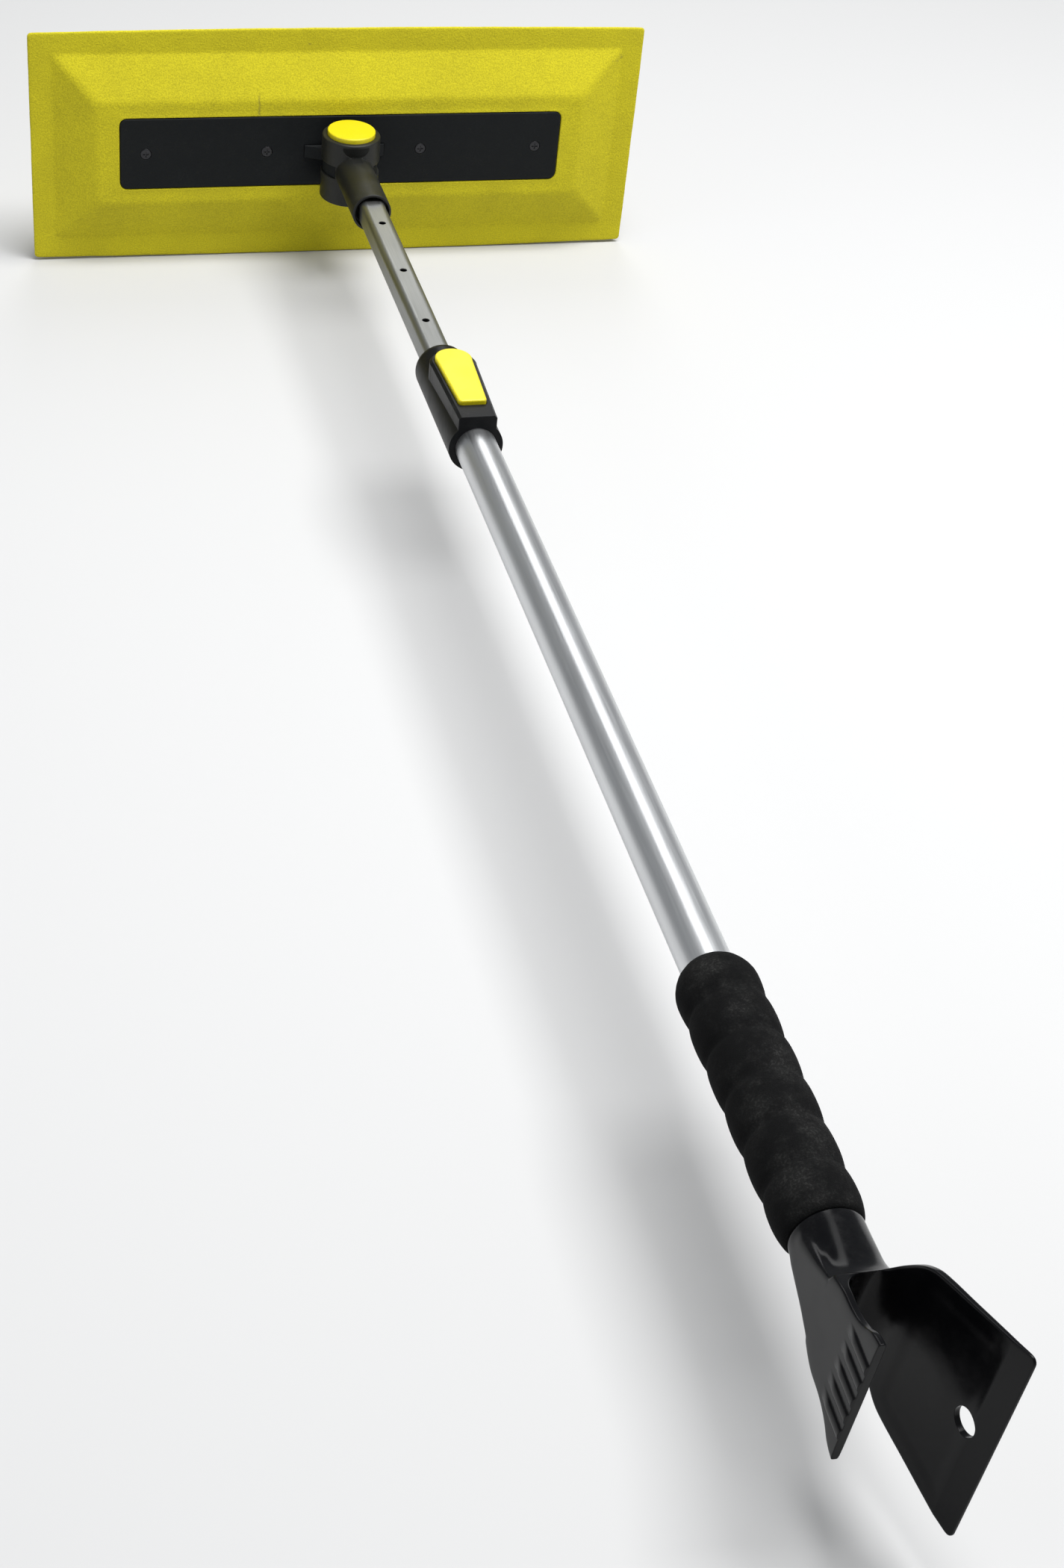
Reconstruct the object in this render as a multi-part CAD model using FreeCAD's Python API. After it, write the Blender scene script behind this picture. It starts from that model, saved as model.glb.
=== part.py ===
import FreeCAD, Part
import math
import os

# Snow brush and ice scraper: foam push head, locking pivot, telescopic pole,
# foam grip and forked scraper.  The pole runs along Y, the head is at +Y, Z is up.
# Lengths are millimetres.  "s" is the distance behind the back of the foam rim.

V = FreeCAD.Vector

# ---------------------------------------------------------------- placement
HALF_LENGTH = 591.5
POLE_HEIGHT = 88.9
GAP = 0.3
FIT = 0.05

# ---------------------------------------------------------------- foam head
HEAD_W = 457.2
HEAD_H = 177.8
HEAD_BOW = 1.9
RIM_T = 9.0
RIM_SIDE = 16.0
RIM_TOP = 15.4
TOP_W = 364.0
TOP_H = 77.0
RISE = 12.5

# ---------------------------------------------------------------- back plate
PLATE_W = 331.0
PLATE_H = 54.0
PLATE_T = 3.0
PLATE_Y = -13.0
PLATE_R = 5.0
SCREW_X = (-147.0, -58.0, 58.0, 147.0)
SCREW_R = 1.9
SCREW_HEAD_R = 4.0
SCREW_HEAD_T = 1.5
CORE_W = 322.0
CORE_H = 46.0
CORE_T = 3.6
WINDOW_W = 82.0
WINDOW_H = 34.0

# ---------------------------------------------------------------- pivot hub
HUB_S = 35.5
LUG_HALF = 4.6
LUG_R = 20.0
SLOT_HALF = 4.9
SLOT_R = 20.4
WEB_W = 60.0
WEB_TOP_W = 26.6
WEB_TOP_S = 20.6
BASE_W = 76.0
BASE_H = 30.0
COLLAR_R = 21.4
NECK_SCREW_S = 92.0
COUNTERBORE_R = 3.4
COLLAR_TOP = 23.0
COLLAR_BOTTOM = -25.0
CAP_R = 17.5
CAP_TOP = 26.4
CAP_SKIRT = 14.0
WELL_FLOOR = 9.4
GEAR_TEETH = 24
GEAR_TIP = 12.0
GEAR_ROOT = 10.8
GEAR_CLEAR = 0.3
GEAR_LOW = -4.4
GEAR_HIGH = 8.6
GEAR_FLANGE_R = 14.0
GEAR_FLANGE_T = 2.2
LOWER_BORE = 14.4
FLOOR_T = 3.0

# ---------------------------------------------------------------- neck
NECK_R = 14.0
NECK_MOUTH = 117.0
BELL_R = 12.3
BELL_DEPTH = 8.0
SCOOP_R = 11.0
SCOOP_Z = 21.4

# ---------------------------------------------------------------- inner tube
INNER_SIDE = 17.8
INNER_R = 4.4
INNER_WALL = 1.2
INNER_START = 62.0
INNER_END = 682.0
HOLE_R = 2.5
HOLE_FIRST = 150.2
HOLE_PITCH = 70.35
HOLE_COUNT = 7
GLIDE_R = 11.7
GLIDE_LEN = 18.0

# ---------------------------------------------------------------- outer tube
OUTER_R = 13.0
OUTER_WALL = 1.2
OUTER_START = 352.5
OUTER_END = 1096.0
BUSH_R = 11.75
BUSH_LEN = 48.0
GUIDE_SIDE = 18.2
GUIDE_R = 4.6

# ---------------------------------------------------------------- latch
HOUSE_R = 17.2
HOUSE_START = 332.0
HOUSE_END = 436.0
HOUSE_ROUND = 9.0
PAD_TOP = 21.4
PAD_MARGIN = 3.2
PAD_CHAMFER = 1.6
KEY_APEX = 355.5
KEY_WIDE_S = 370.0
KEY_WIDE = 11.5
KEY_TAIL_S = 421.0
KEY_TAIL = 8.9
KEY_CORNER = 2.6
KEY_TOP = 24.2
KEY_BOTTOM = 16.2
KEY_TAIL_LIFT = 3.4
KEY_GAP = 0.35
KEY_TAIL_GAP = 0.9
KEY_ROUND = 1.2
RECESS_FLOOR = 15.2
AXLE_S = 392.0
HOUSING_SCREW_S = 424.0
AXLE_Z = 18.4
AXLE_R = 1.5
AXLE_HALF = 12.6
PIN_HOLE = 3
PIN_R = 2.0
PIN_TIP_R = 1.4
PIN_LOW = 7.3
PIN_TAPER = 2.1
PIN_HIGH = 20.5
PIN_SLOT_R = 4.0
KEY_SPRING_S = 411.0
KEY_SPRING_R = 2.6
KEY_SPRING_WIRE = 0.5
KEY_POCKET_TOP = 21.6

# ---------------------------------------------------------------- grip
GRIP_START = 914.0
GRIP_END = 1076.0
GRIP_LOBES = 6
GRIP_HIGH = 20.3
GRIP_LOW = 18.7
GRIP_LIP = 17.0

# ---------------------------------------------------------------- scraper
ROLL = 5.9
SOCKET_R = 17.5
SOCKET_START = 1076.4
SPIGOT_START = 1052.0
SPIGOT_R = 11.7
SPIGOT_BORE = 8.8
SCRAPER_SCREW_S = 1087.0
FLARE_START = 1084.0
FLARE_END = 1118.0
FLARE_HALF = 22.0
FLARE_LEFT = -18.6
FLARE_RIGHT = 16.6
FLARE_STEPS = 6
FLARE_POWER = 5.0
CHIP_START = 1106.0
CHIP_END = 1163.0
CHIP_OUT = -20.0
CHIP_IN = -16.0
# distance along the pole and half width there
CHIP_SHAPE = ((1106, 15), (1116, 20.5), (1128, 25), (1136, 25.4), (1142, 26.8), (1150, 30), (1155, 34), (1163, 35))
BLADE_START = 1106.0
BLADE_SHAPE = (
    (1106, 14),
    (1113, 20),
    (1118.5, 28),
    (1122.5, 33),
    (1128, 39),
    (1134, 43.5),
    (1142, 45.8),
    (1154, 48.3),
    (1192, 57.15),
)
BLADE_CORNER = 3.0
BLADE_END = 1192.0
BLADE_TIP_IN = 28.6
BLADE_TIP_OUT = 30.0
BEVEL_S = 1181.0
BEVEL_X = 24.4
BLADE_SLOPE = 0.2453
ROOT_S = 1115.0
ROOT_REACH = 12.5
ROOT_X = -1.5
ROOT_LEFT = -14.0
DISH_DEPTH = 0.8
DISH_SHAPE = ((1131, 33), (1142, 39), (1154, 41.5), (1181, 48))
HANG_S = 1176.0
HANG_R = 6.5
RIDGE_COUNT = 5
RIDGE_PITCH = 10.0
RIDGE_R = 3.0
RIDGE_START = 1146.0
RIDGE_RISE = 1.5


def save(name, shape):
    """Move a piece from the pole axis to its real height and write it."""
    moved = shape.copy()
    moved.translate(V(0, HALF_LENGTH, POLE_HEIGHT))
    moved = moved.removeSplitter()
    moved.exportStep(os.path.join("parts", name + ".step"))
    print(name, round(moved.Volume), moved.isValid(), len(moved.Solids))


def box(x0, x1, s0, s1, z0, z1):
    return Part.makeBox(x1 - x0, s1 - s0, z1 - z0, V(x0, -s1, z0))


def rod_y(radius, s0, s1, x=0.0, z=0.0):
    """Cylinder along the pole, between two distances behind the rim."""
    return Part.makeCylinder(radius, s1 - s0, V(x, -s0, z), V(0, -1, 0))


def rod_z(radius, z0, z1, x=0.0, s=0.0):
    return Part.makeCylinder(radius, z1 - z0, V(x, -s, z0), V(0, 0, 1))


def rounded_bar(side, corner, s0, s1):
    """Square bar with round corners, along the pole."""
    half = side / 2
    bar = box(-half, half, s0, s1, -half, half)
    edges = [e for e in bar.Edges if abs(e.tangentAt(e.FirstParameter).y) > 0.99]
    return bar.makeFillet(corner, edges)


def polygon_xy(points, z0, z1):
    """Prism from a list of (x, s) points."""
    loop = [V(x, -s, z0) for x, s in points]
    face = Part.Face(Part.makePolygon(loop + loop[:1]))
    return face.extrude(V(0, 0, z1 - z0))


def pan_screw(seat, direction, head_r, head_t, shank_r, length):
    """Pan head screw with a cross recess, sitting on its seat point."""
    head = Part.makeCylinder(head_r, head_t, seat, direction)
    rim = [e for e in head.Edges if e.Length > 1 and e.Vertexes[0].Point.sub(seat).dot(direction) > head_t / 2]
    head = head.makeFillet(head_t * 0.45, rim[:1])
    shank = Part.makeCylinder(shank_r, length, seat, direction.negative())
    screw = head.fuse(shank)
    across = direction.cross(V(1, 0, 0))
    if across.Length < 0.5:
        across = direction.cross(V(0, 1, 0))
    for turn in (0, 90):
        slot = Part.makeBox(head_r * 1.1, head_r * 0.24, head_t)
        slot.translate(V(-head_r * 0.55, -head_r * 0.12, 0))
        slot.rotate(V(0, 0, 0), V(0, 0, 1), turn)
        slot.Placement = FreeCAD.Placement(seat, FreeCAD.Rotation(V(0, 0, 1), direction)).multiply(slot.Placement)
        slot.translate(direction * (head_t * 0.5))
        screw = screw.cut(slot)
    return screw


def coil(radius, wire, height, turns, base, direction):
    """Round wire compression spring with its ends inside the given height."""
    path = Part.makeHelix((height - 2 * wire) / turns, height - 2 * wire, radius)
    section = Part.Wire(Part.makeCircle(wire, V(radius, 0, 0), V(0, 1, 0)))
    body = Part.Wire(path).makePipeShell([section], True, True)
    body.Placement = FreeCAD.Placement(base + direction * wire, FreeCAD.Rotation(V(0, 0, 1), direction))
    return body


def toothed(tip, root, teeth, fraction, z0, z1):
    """Round bar with straight-sided splines, along Z on the hub axis."""
    pitch = 2 * math.pi / teeth
    points = []
    for k in range(teeth):
        middle = k * pitch
        for radius, part in ((root, -0.5), (tip, -0.5 * fraction), (tip, 0.5 * fraction), (root, 0.5)):
            turn = middle + part * pitch * 0.8
            points.append(V(radius * math.sin(turn), -HUB_S + radius * math.cos(turn), z0))
    face = Part.Face(Part.makePolygon(points + points[:1]))
    return face.extrude(V(0, 0, z1 - z0))


# ================================================================ foam head
def foam_head():
    half_w = HEAD_W / 2
    half_h = HEAD_H / 2
    corner = half_h - HEAD_BOW
    upper = Part.Arc(V(-half_w, 0, corner), V(0, 0, half_h), V(half_w, 0, corner)).toShape()
    lower = Part.Arc(V(half_w, 0, -corner), V(0, 0, -half_h), V(-half_w, 0, -corner)).toShape()
    right = Part.makeLine(V(half_w, 0, corner), V(half_w, 0, -corner))
    left = Part.makeLine(V(-half_w, 0, -corner), V(-half_w, 0, corner))
    rim = Part.Face(Part.Wire([upper, right, lower, left])).extrude(V(0, RIM_T, 0))
    foot_x = half_w - RIM_SIDE
    foot_z = corner - RIM_TOP
    sections = []
    for x, z, y in ((foot_x, foot_z, 0.0), (TOP_W / 2, TOP_H / 2, -RISE)):
        loop = [V(-x, y, -z), V(x, y, -z), V(x, y, z), V(-x, y, z)]
        sections.append(Part.makePolygon(loop + loop[:1]))
    head = rim.fuse(Part.makeLoft(sections, True, True))
    plate_s = -PLATE_Y - PLATE_T
    margin = PLATE_W / 2 + GAP
    head = head.cut(box(-margin, margin, plate_s, RISE + 1, -PLATE_H / 2 - GAP, PLATE_H / 2 + GAP))
    half_core = CORE_W / 2 + GAP
    floor = plate_s - CORE_T - GAP
    head = head.cut(box(-half_core, half_core, floor, plate_s, -CORE_H / 2 - GAP, CORE_H / 2 + GAP))
    for x in SCREW_X:
        head = head.cut(rod_y(SCREW_R + 1.5, floor - 4, floor, x))
    return head


def core_board():
    plate_s = -PLATE_Y - PLATE_T
    s0 = plate_s - CORE_T
    board = box(-CORE_W / 2, CORE_W / 2, s0, plate_s - FIT, -CORE_H / 2, CORE_H / 2)
    board = board.cut(box(-WINDOW_W / 2, WINDOW_W / 2, s0, plate_s, -WINDOW_H / 2, WINDOW_H / 2))
    for x in SCREW_X:
        if abs(x) > WINDOW_W / 2:
            board = board.cut(rod_y(SCREW_R + FIT, s0, plate_s, x))
    return board


def backing_plate():
    s0 = -PLATE_Y - PLATE_T
    s1 = -PLATE_Y
    plate = box(-PLATE_W / 2, PLATE_W / 2, s0, s1, -PLATE_H / 2, PLATE_H / 2)
    upright = [e for e in plate.Edges if abs(e.tangentAt(e.FirstParameter).y) > 0.99]
    plate = plate.makeFillet(PLATE_R, upright)
    outer = [e for e in plate.Edges if all(abs(v.Point.y + s1) < 0.01 for v in e.Vertexes)]
    plate = plate.makeFillet(1.0, outer)
    slot = WEB_W / 2 + GAP
    plate = plate.cut(box(-slot, slot, s0, s1, -LUG_HALF - GAP, LUG_HALF + GAP))
    for x in SCREW_X:
        plate = plate.cut(rod_y(SCREW_R + FIT, s0, s1, x))
        plate = plate.cut(rod_y(SCREW_HEAD_R + 0.2, s1 - SCREW_HEAD_T + 0.1, s1, x))
    return plate


def plate_screw(x):
    seat = V(x, PLATE_Y + SCREW_HEAD_T - 0.1, 0)
    return pan_screw(seat, V(0, -1, 0), SCREW_HEAD_R, SCREW_HEAD_T, SCREW_R, 6.5)


def hub_bracket():
    plate_s = -PLATE_Y - PLATE_T
    web = polygon_xy(
        (
            (-WEB_W / 2, plate_s - 1),
            (WEB_W / 2, plate_s - 1),
            (WEB_W / 2, -PLATE_Y + 0.6),
            (WEB_TOP_W / 2, WEB_TOP_S),
            (-WEB_TOP_W / 2, WEB_TOP_S),
            (-WEB_W / 2, -PLATE_Y + 0.6),
        ),
        -LUG_HALF,
        LUG_HALF,
    )
    web = web.fuse(rod_z(LUG_R, -LUG_HALF, LUG_HALF, 0, HUB_S))
    neck = box(-WEB_TOP_W / 2, WEB_TOP_W / 2, WEB_TOP_S - 2, HUB_S, -LUG_HALF, LUG_HALF)
    web = web.fuse(neck)
    base = box(-BASE_W / 2, BASE_W / 2, plate_s - CORE_T + 0.3, plate_s - FIT, -BASE_H / 2, BASE_H / 2)
    web = web.fuse(base)
    return web.cut(toothed(GEAR_TIP + GEAR_CLEAR, GEAR_ROOT + GEAR_CLEAR, GEAR_TEETH, 0.62, -9, 9))


# ================================================================ neck
def neck_fork():
    fork = rod_z(COLLAR_R, COLLAR_BOTTOM, COLLAR_TOP, 0, HUB_S)
    fork = fork.fuse(rod_y(NECK_R, HUB_S, NECK_MOUTH))
    fork = fork.cut(rod_z(SLOT_R, -SLOT_HALF, SLOT_HALF, 0, HUB_S))
    back = box(-30, 30, 0, HUB_S, -SLOT_HALF, SLOT_HALF)
    fork = fork.cut(back)
    sides = rod_z(COLLAR_R + 1, -SLOT_HALF, SLOT_HALF, 0, HUB_S)
    sides = sides.cut(box(-NECK_R, NECK_R, HUB_S, HUB_S + 40, -SLOT_HALF, SLOT_HALF))
    fork = fork.cut(sides)
    rims = []
    for e in fork.Edges:
        if isinstance(e.Curve, Part.Circle) and abs(e.Curve.Radius - COLLAR_R) < 0.01:
            level = e.CenterOfMass.z
            if abs(level - COLLAR_TOP) < 0.01 or abs(level - COLLAR_BOTTOM) < 0.01:
                rims.append(e)
    fork = fork.makeFillet(1.2, rims)
    fork = fork.cut(rod_z(CAP_R + 0.2, WELL_FLOOR, COLLAR_TOP + 1, 0, HUB_S))
    spline = toothed(GEAR_TIP + GEAR_CLEAR, GEAR_ROOT + GEAR_CLEAR, GEAR_TEETH, 0.62, SLOT_HALF - 1, 10)
    fork = fork.cut(spline)
    fork = fork.cut(rod_z(LOWER_BORE, COLLAR_BOTTOM - 1, -SLOT_HALF + 1, 0, HUB_S))
    scoop = rod_y(SCOOP_R, HUB_S + 19.0, HUB_S + 30.0, 0, SCOOP_Z + 2.4)
    scoop = scoop.cut(box(-20, 20, 0, 90, SCOOP_Z - 0.6, 40))
    fork = fork.cut(scoop)
    fork = fork.cut(rounded_bar(INNER_SIDE + 2 * FIT, INNER_R, INNER_START - 0.4, NECK_MOUTH))
    fork = fork.cut(rod_y(BELL_R, NECK_MOUTH - BELL_DEPTH, NECK_MOUTH))
    lip = [
        e
        for e in fork.Edges
        if isinstance(e.Curve, Part.Circle)
        and abs(e.CenterOfMass.y + NECK_MOUTH) < 0.01
        and abs(e.Curve.Radius - NECK_R) < 0.01
    ]
    fork = fork.makeFillet(0.9, lip)
    fork = fork.cut(rod_z(SCREW_R + FIT, -20, -6, 0, NECK_SCREW_S))
    return fork.cut(rod_z(COUNTERBORE_R, -20, -11.6, 0, NECK_SCREW_S))


def hub_floor():
    disc = rod_z(LOWER_BORE - FIT, COLLAR_BOTTOM, COLLAR_BOTTOM + FLOOR_T, 0, HUB_S)
    stud = rod_z(5.0, COLLAR_BOTTOM + FLOOR_T, COLLAR_BOTTOM + FLOOR_T + 2.0, 0, HUB_S)
    return disc.fuse(stud)


def neck_screw():
    return pan_screw(V(0, -NECK_SCREW_S, -11.6), V(0, 0, -1), 3.2, 1.6, SCREW_R, 3.6)


# ================================================================ hub button
def hub_cap():
    top = rod_z(CAP_R, CAP_SKIRT, CAP_TOP, 0, HUB_S)
    crown = [e for e in top.Edges if e.Length > 1 and abs(e.CenterOfMass.z - CAP_TOP) < 0.01]
    top = top.makeFillet(0.9, crown)
    top = top.cut(rod_z(CAP_R - 2.0, CAP_SKIRT, CAP_TOP - 2.6, 0, HUB_S))
    post = rod_z(6.0, GEAR_HIGH, CAP_TOP - 2.0, 0, HUB_S)
    top = top.fuse(post)
    return top.cut(rod_z(SCREW_R - 0.3, GEAR_HIGH, GEAR_HIGH + 9.3, 0, HUB_S))


def lock_gear():
    gear = toothed(GEAR_TIP, GEAR_ROOT, GEAR_TEETH, 0.5, GEAR_LOW - 1, GEAR_HIGH - FIT)
    flange_top = -SLOT_HALF - 0.3
    gear = gear.fuse(rod_z(GEAR_FLANGE_R - 0.3, flange_top - GEAR_FLANGE_T, flange_top, 0, HUB_S))
    gear = gear.cut(rod_z(7.4, -12, -1, 0, HUB_S))
    return gear.cut(rod_z(SCREW_R - 0.3, -2, 10, 0, HUB_S))


def gear_screw():
    return pan_screw(V(0, -HUB_S, -1.05), V(0, 0, -1), 3.4, 1.8, SCREW_R - 0.35, 18.4)


def hub_spring():
    low = COLLAR_BOTTOM + FLOOR_T + 0.1
    high = -SLOT_HALF - 0.3 - GEAR_FLANGE_T - 0.1
    return coil(9.6, 0.6, high - low, 4.5, V(0, -HUB_S, low), V(0, 0, 1))


# ================================================================ pole
def hole_s(k):
    return HOLE_FIRST + HOLE_PITCH * k


def inner_tube():
    tube = rounded_bar(INNER_SIDE, INNER_R, INNER_START, INNER_END)
    bore = rounded_bar(INNER_SIDE - 2 * INNER_WALL, INNER_R - INNER_WALL, INNER_START - 1, INNER_END + 1)
    tube = tube.cut(bore)
    for k in range(HOLE_COUNT):
        tube = tube.cut(rod_z(HOLE_R, INNER_SIDE / 2 - 3, INNER_SIDE / 2 + 1, 0, hole_s(k)))
    return tube.cut(rod_z(SCREW_R + FIT, -12, -5, 0, NECK_SCREW_S))


def tail_glide():
    disc = rod_y(GLIDE_R, INNER_END + FIT, INNER_END + GLIDE_LEN)
    ends = [e for e in disc.Edges if isinstance(e.Curve, Part.Circle)]
    disc = disc.makeFillet(0.8, ends)
    side = INNER_SIDE - 2 * INNER_WALL - 2 * FIT
    spigot = rounded_bar(side, INNER_R - INNER_WALL, INNER_END - 14, INNER_END + 2)
    plug = disc.fuse(spigot)
    return plug.cut(rod_y(5.0, INNER_END - 20, INNER_END + GLIDE_LEN + 1))


def outer_tube():
    tube = rod_y(OUTER_R, OUTER_START, OUTER_END)
    tube = tube.cut(rod_y(OUTER_R - OUTER_WALL, OUTER_START - 1, OUTER_END + 1))
    tube = tube.cut(rod_z(PIN_SLOT_R, 5, 20, 0, hole_s(PIN_HOLE)))
    for s in (HOUSING_SCREW_S, SCRAPER_SCREW_S):
        tube = tube.cut(rod_z(SCREW_R + FIT, -20, -8, 0, s))
    return tube


def guide_bush():
    bush = rod_y(BUSH_R, OUTER_START + 0.5, OUTER_START + BUSH_LEN)
    bush = bush.cut(rounded_bar(GUIDE_SIDE, GUIDE_R, OUTER_START - 1, OUTER_START + BUSH_LEN + 1))
    return bush.cut(rod_z(PIN_SLOT_R, 5, 20, 0, hole_s(PIN_HOLE)))


# ================================================================ latch
def key_outline(offset, tail_offset, z0, z1):
    """Teardrop prism: round toward the head, straight taper to a square tail."""
    wide = KEY_WIDE + offset
    tail = KEY_TAIL + offset
    apex = KEY_APEX - offset
    tail_s = KEY_TAIL_S + tail_offset
    centre = KEY_WIDE_S
    left = V(-wide, -centre, z0)
    right = V(wide, -centre, z0)
    arc = Part.Arc(left, V(0, -apex, z0), right).toShape()
    far_right = V(tail, -tail_s, z0)
    far_left = V(-tail, -tail_s, z0)
    sides = [
        Part.makeLine(right, far_right),
        Part.makeLine(far_right, far_left),
        Part.makeLine(far_left, left),
    ]
    return Part.Face(Part.Wire([arc] + sides)).extrude(V(0, 0, z1 - z0))


def upright_edges(shape, s_min):
    found = []
    for e in shape.Edges:
        if abs(e.tangentAt(e.FirstParameter).z) > 0.99 and -e.CenterOfMass.y > s_min:
            found.append(e)
    return found


def latch_housing():
    body = rod_y(HOUSE_R, HOUSE_START, HOUSE_END)
    front = [e for e in body.Edges if e.Length > 1 and abs(e.CenterOfMass.y + HOUSE_START) < 0.01]
    body = body.makeFillet(HOUSE_ROUND, front)
    pad = key_outline(PAD_MARGIN, HOUSE_END - KEY_TAIL_S, 0, PAD_TOP)
    top = [
        e
        for e in pad.Edges
        if abs(e.CenterOfMass.z - PAD_TOP) < 0.01 and abs(e.CenterOfMass.y + HOUSE_END) > 0.1
    ]
    pad = pad.makeChamfer(PAD_CHAMFER, top)
    body = body.fuse(pad)
    body = body.cut(rounded_bar(GUIDE_SIDE, GUIDE_R, HOUSE_START - 1, OUTER_START + 1))
    body = body.cut(rod_y(OUTER_R + FIT, OUTER_START - 0.4, HOUSE_END + 1))
    recess = key_outline(KEY_GAP, KEY_TAIL_GAP, RECESS_FLOOR, PAD_TOP + 1)
    recess = recess.makeFillet(KEY_CORNER, upright_edges(recess, KEY_TAIL_S - 5))
    body = body.cut(recess)
    body = body.cut(rod_z(PIN_SLOT_R, 5, RECESS_FLOOR + 1, 0, hole_s(PIN_HOLE)))
    axle = Part.makeCylinder(AXLE_R + 0.02, 2 * AXLE_HALF + 0.2, V(-AXLE_HALF - 0.1, -AXLE_S, AXLE_Z), V(1, 0, 0))
    body = body.cut(axle)
    body = body.cut(rod_z(SCREW_R + FIT, -20, -8, 0, HOUSING_SCREW_S))
    return body.cut(rod_z(COUNTERBORE_R, -20, -15.2, 0, HOUSING_SCREW_S))


def latch_button():
    key = key_outline(0, 0, KEY_BOTTOM, KEY_TOP)
    key = key.makeFillet(KEY_CORNER, upright_edges(key, KEY_TAIL_S - 5))
    rim = [e for e in key.Edges if abs(e.CenterOfMass.z - KEY_TOP) < 0.01]
    key = key.makeFillet(KEY_ROUND, rim)
    slope = KEY_TAIL_LIFT
    under = Part.makePolygon(
        [
            V(-20, -AXLE_S - 4, KEY_BOTTOM - 1),
            V(-20, -AXLE_S - 4, KEY_BOTTOM),
            V(-20, -KEY_TAIL_S - 1, KEY_BOTTOM + slope),
            V(-20, -KEY_TAIL_S - 1, KEY_BOTTOM - 1),
            V(-20, -AXLE_S - 4, KEY_BOTTOM - 1),
        ]
    )
    key = key.cut(Part.Face(under).extrude(V(40, 0, 0)))
    key = key.cut(Part.makeCylinder(AXLE_R + 0.06, 60, V(-30, -AXLE_S, AXLE_Z), V(1, 0, 0)))
    key = key.cut(rod_z(KEY_SPRING_R + 1.0, KEY_BOTTOM - 1, KEY_POCKET_TOP, 0, KEY_SPRING_S))
    return key.cut(rod_z(PIN_R, KEY_BOTTOM - 1, PIN_HIGH, 0, hole_s(PIN_HOLE)))


def lock_pin():
    s = hole_s(PIN_HOLE)
    tip = Part.makeCone(PIN_TIP_R, PIN_R, PIN_TAPER, V(0, -s, PIN_LOW), V(0, 0, 1))
    return tip.fuse(rod_z(PIN_R, PIN_LOW + PIN_TAPER, PIN_HIGH, 0, s))


def latch_axle():
    return Part.makeCylinder(AXLE_R, 2 * AXLE_HALF, V(-AXLE_HALF, -AXLE_S, AXLE_Z), V(1, 0, 0))


def latch_spring():
    height = KEY_POCKET_TOP - RECESS_FLOOR - 0.2
    return coil(KEY_SPRING_R, KEY_SPRING_WIRE, height, 4.0, V(0, -KEY_SPRING_S, RECESS_FLOOR + 0.1), V(0, 0, 1))


def housing_screw():
    return pan_screw(V(0, -HOUSING_SCREW_S, -15.2), V(0, 0, -1), 3.2, 1.6, SCREW_R, 4.6)


# ================================================================ grip
def foam_grip():
    step = (GRIP_END - GRIP_START) / GRIP_LOBES
    edges = []
    low = OUTER_R + 0.02
    start = V(0, -GRIP_START, GRIP_LIP)
    edges.append(Part.makeLine(V(0, -GRIP_START, low), start))
    here = start
    for k in range(GRIP_LOBES):
        middle = GRIP_START + step * (k + 0.5)
        end = GRIP_START + step * (k + 1)
        radius = GRIP_LIP if k == GRIP_LOBES - 1 else GRIP_LOW
        there = V(0, -end, radius)
        edges.append(Part.Arc(here, V(0, -middle, GRIP_HIGH), there).toShape())
        here = there
    edges.append(Part.makeLine(here, V(0, -GRIP_END, low)))
    edges.append(Part.makeLine(V(0, -GRIP_END, low), V(0, -GRIP_START, low)))
    face = Part.Face(Part.Wire(edges))
    return face.revolve(V(0, 0, 0), V(0, 1, 0), 360)


# ================================================================ scraper
def flare_section(s, fraction):
    """Closed curve that goes from the round socket to a wide flat oval."""
    left = -SOCKET_R + (FLARE_LEFT + SOCKET_R) * fraction
    right = SOCKET_R + (FLARE_RIGHT - SOCKET_R) * fraction
    half = SOCKET_R + (FLARE_HALF - SOCKET_R) * fraction
    power = 2.0 / (2.0 + (FLARE_POWER - 2.0) * fraction * fraction)
    count = 48
    points = []
    for k in range(count):
        turn = 2 * math.pi * k / count
        cx = math.cos(turn)
        cz = math.sin(turn)
        x = (left + right) / 2 + (right - left) / 2 * math.copysign(abs(cx) ** power, cx)
        z = half * math.copysign(abs(cz) ** power, cz)
        points.append(V(x, -s, z))
    curve = Part.BSplineCurve()
    curve.interpolate(Points=points, PeriodicFlag=True)
    return Part.Wire(curve.toShape())


def outline(points, x0, x1):
    """Prism across the blade from (s, half width) points, mirrored in Z."""
    upper = [V(x0, -s, w) for s, w in points]
    lower = [V(x0, -s, -w) for s, w in reversed(points)]
    loop = upper + lower
    return Part.Face(Part.makePolygon(loop + loop[:1])).extrude(V(x1 - x0, 0, 0))


def side_profile(points, half):
    loop = [V(x, -s, -half) for x, s in points]
    return Part.Face(Part.makePolygon(loop + loop[:1])).extrude(V(0, 0, 2 * half))


def blade_in(s):
    """Inner face of the long blade at a distance along the pole."""
    return BEVEL_X - BLADE_SLOPE * (BEVEL_S - s)


def chip_out(s):
    """Outer face of the chipper at a distance along the pole."""
    return CHIP_OUT + (CHIP_OUT + SOCKET_R) / (CHIP_END - FLARE_START) * (s - CHIP_END)


def chipper():
    profile = (
        (chip_out(CHIP_START), CHIP_START),
        (CHIP_OUT, CHIP_END),
        (CHIP_IN, CHIP_END),
        (0.0, CHIP_START),
    )
    return side_profile(profile, 70).common(outline(CHIP_SHAPE, -30, 20))


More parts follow.
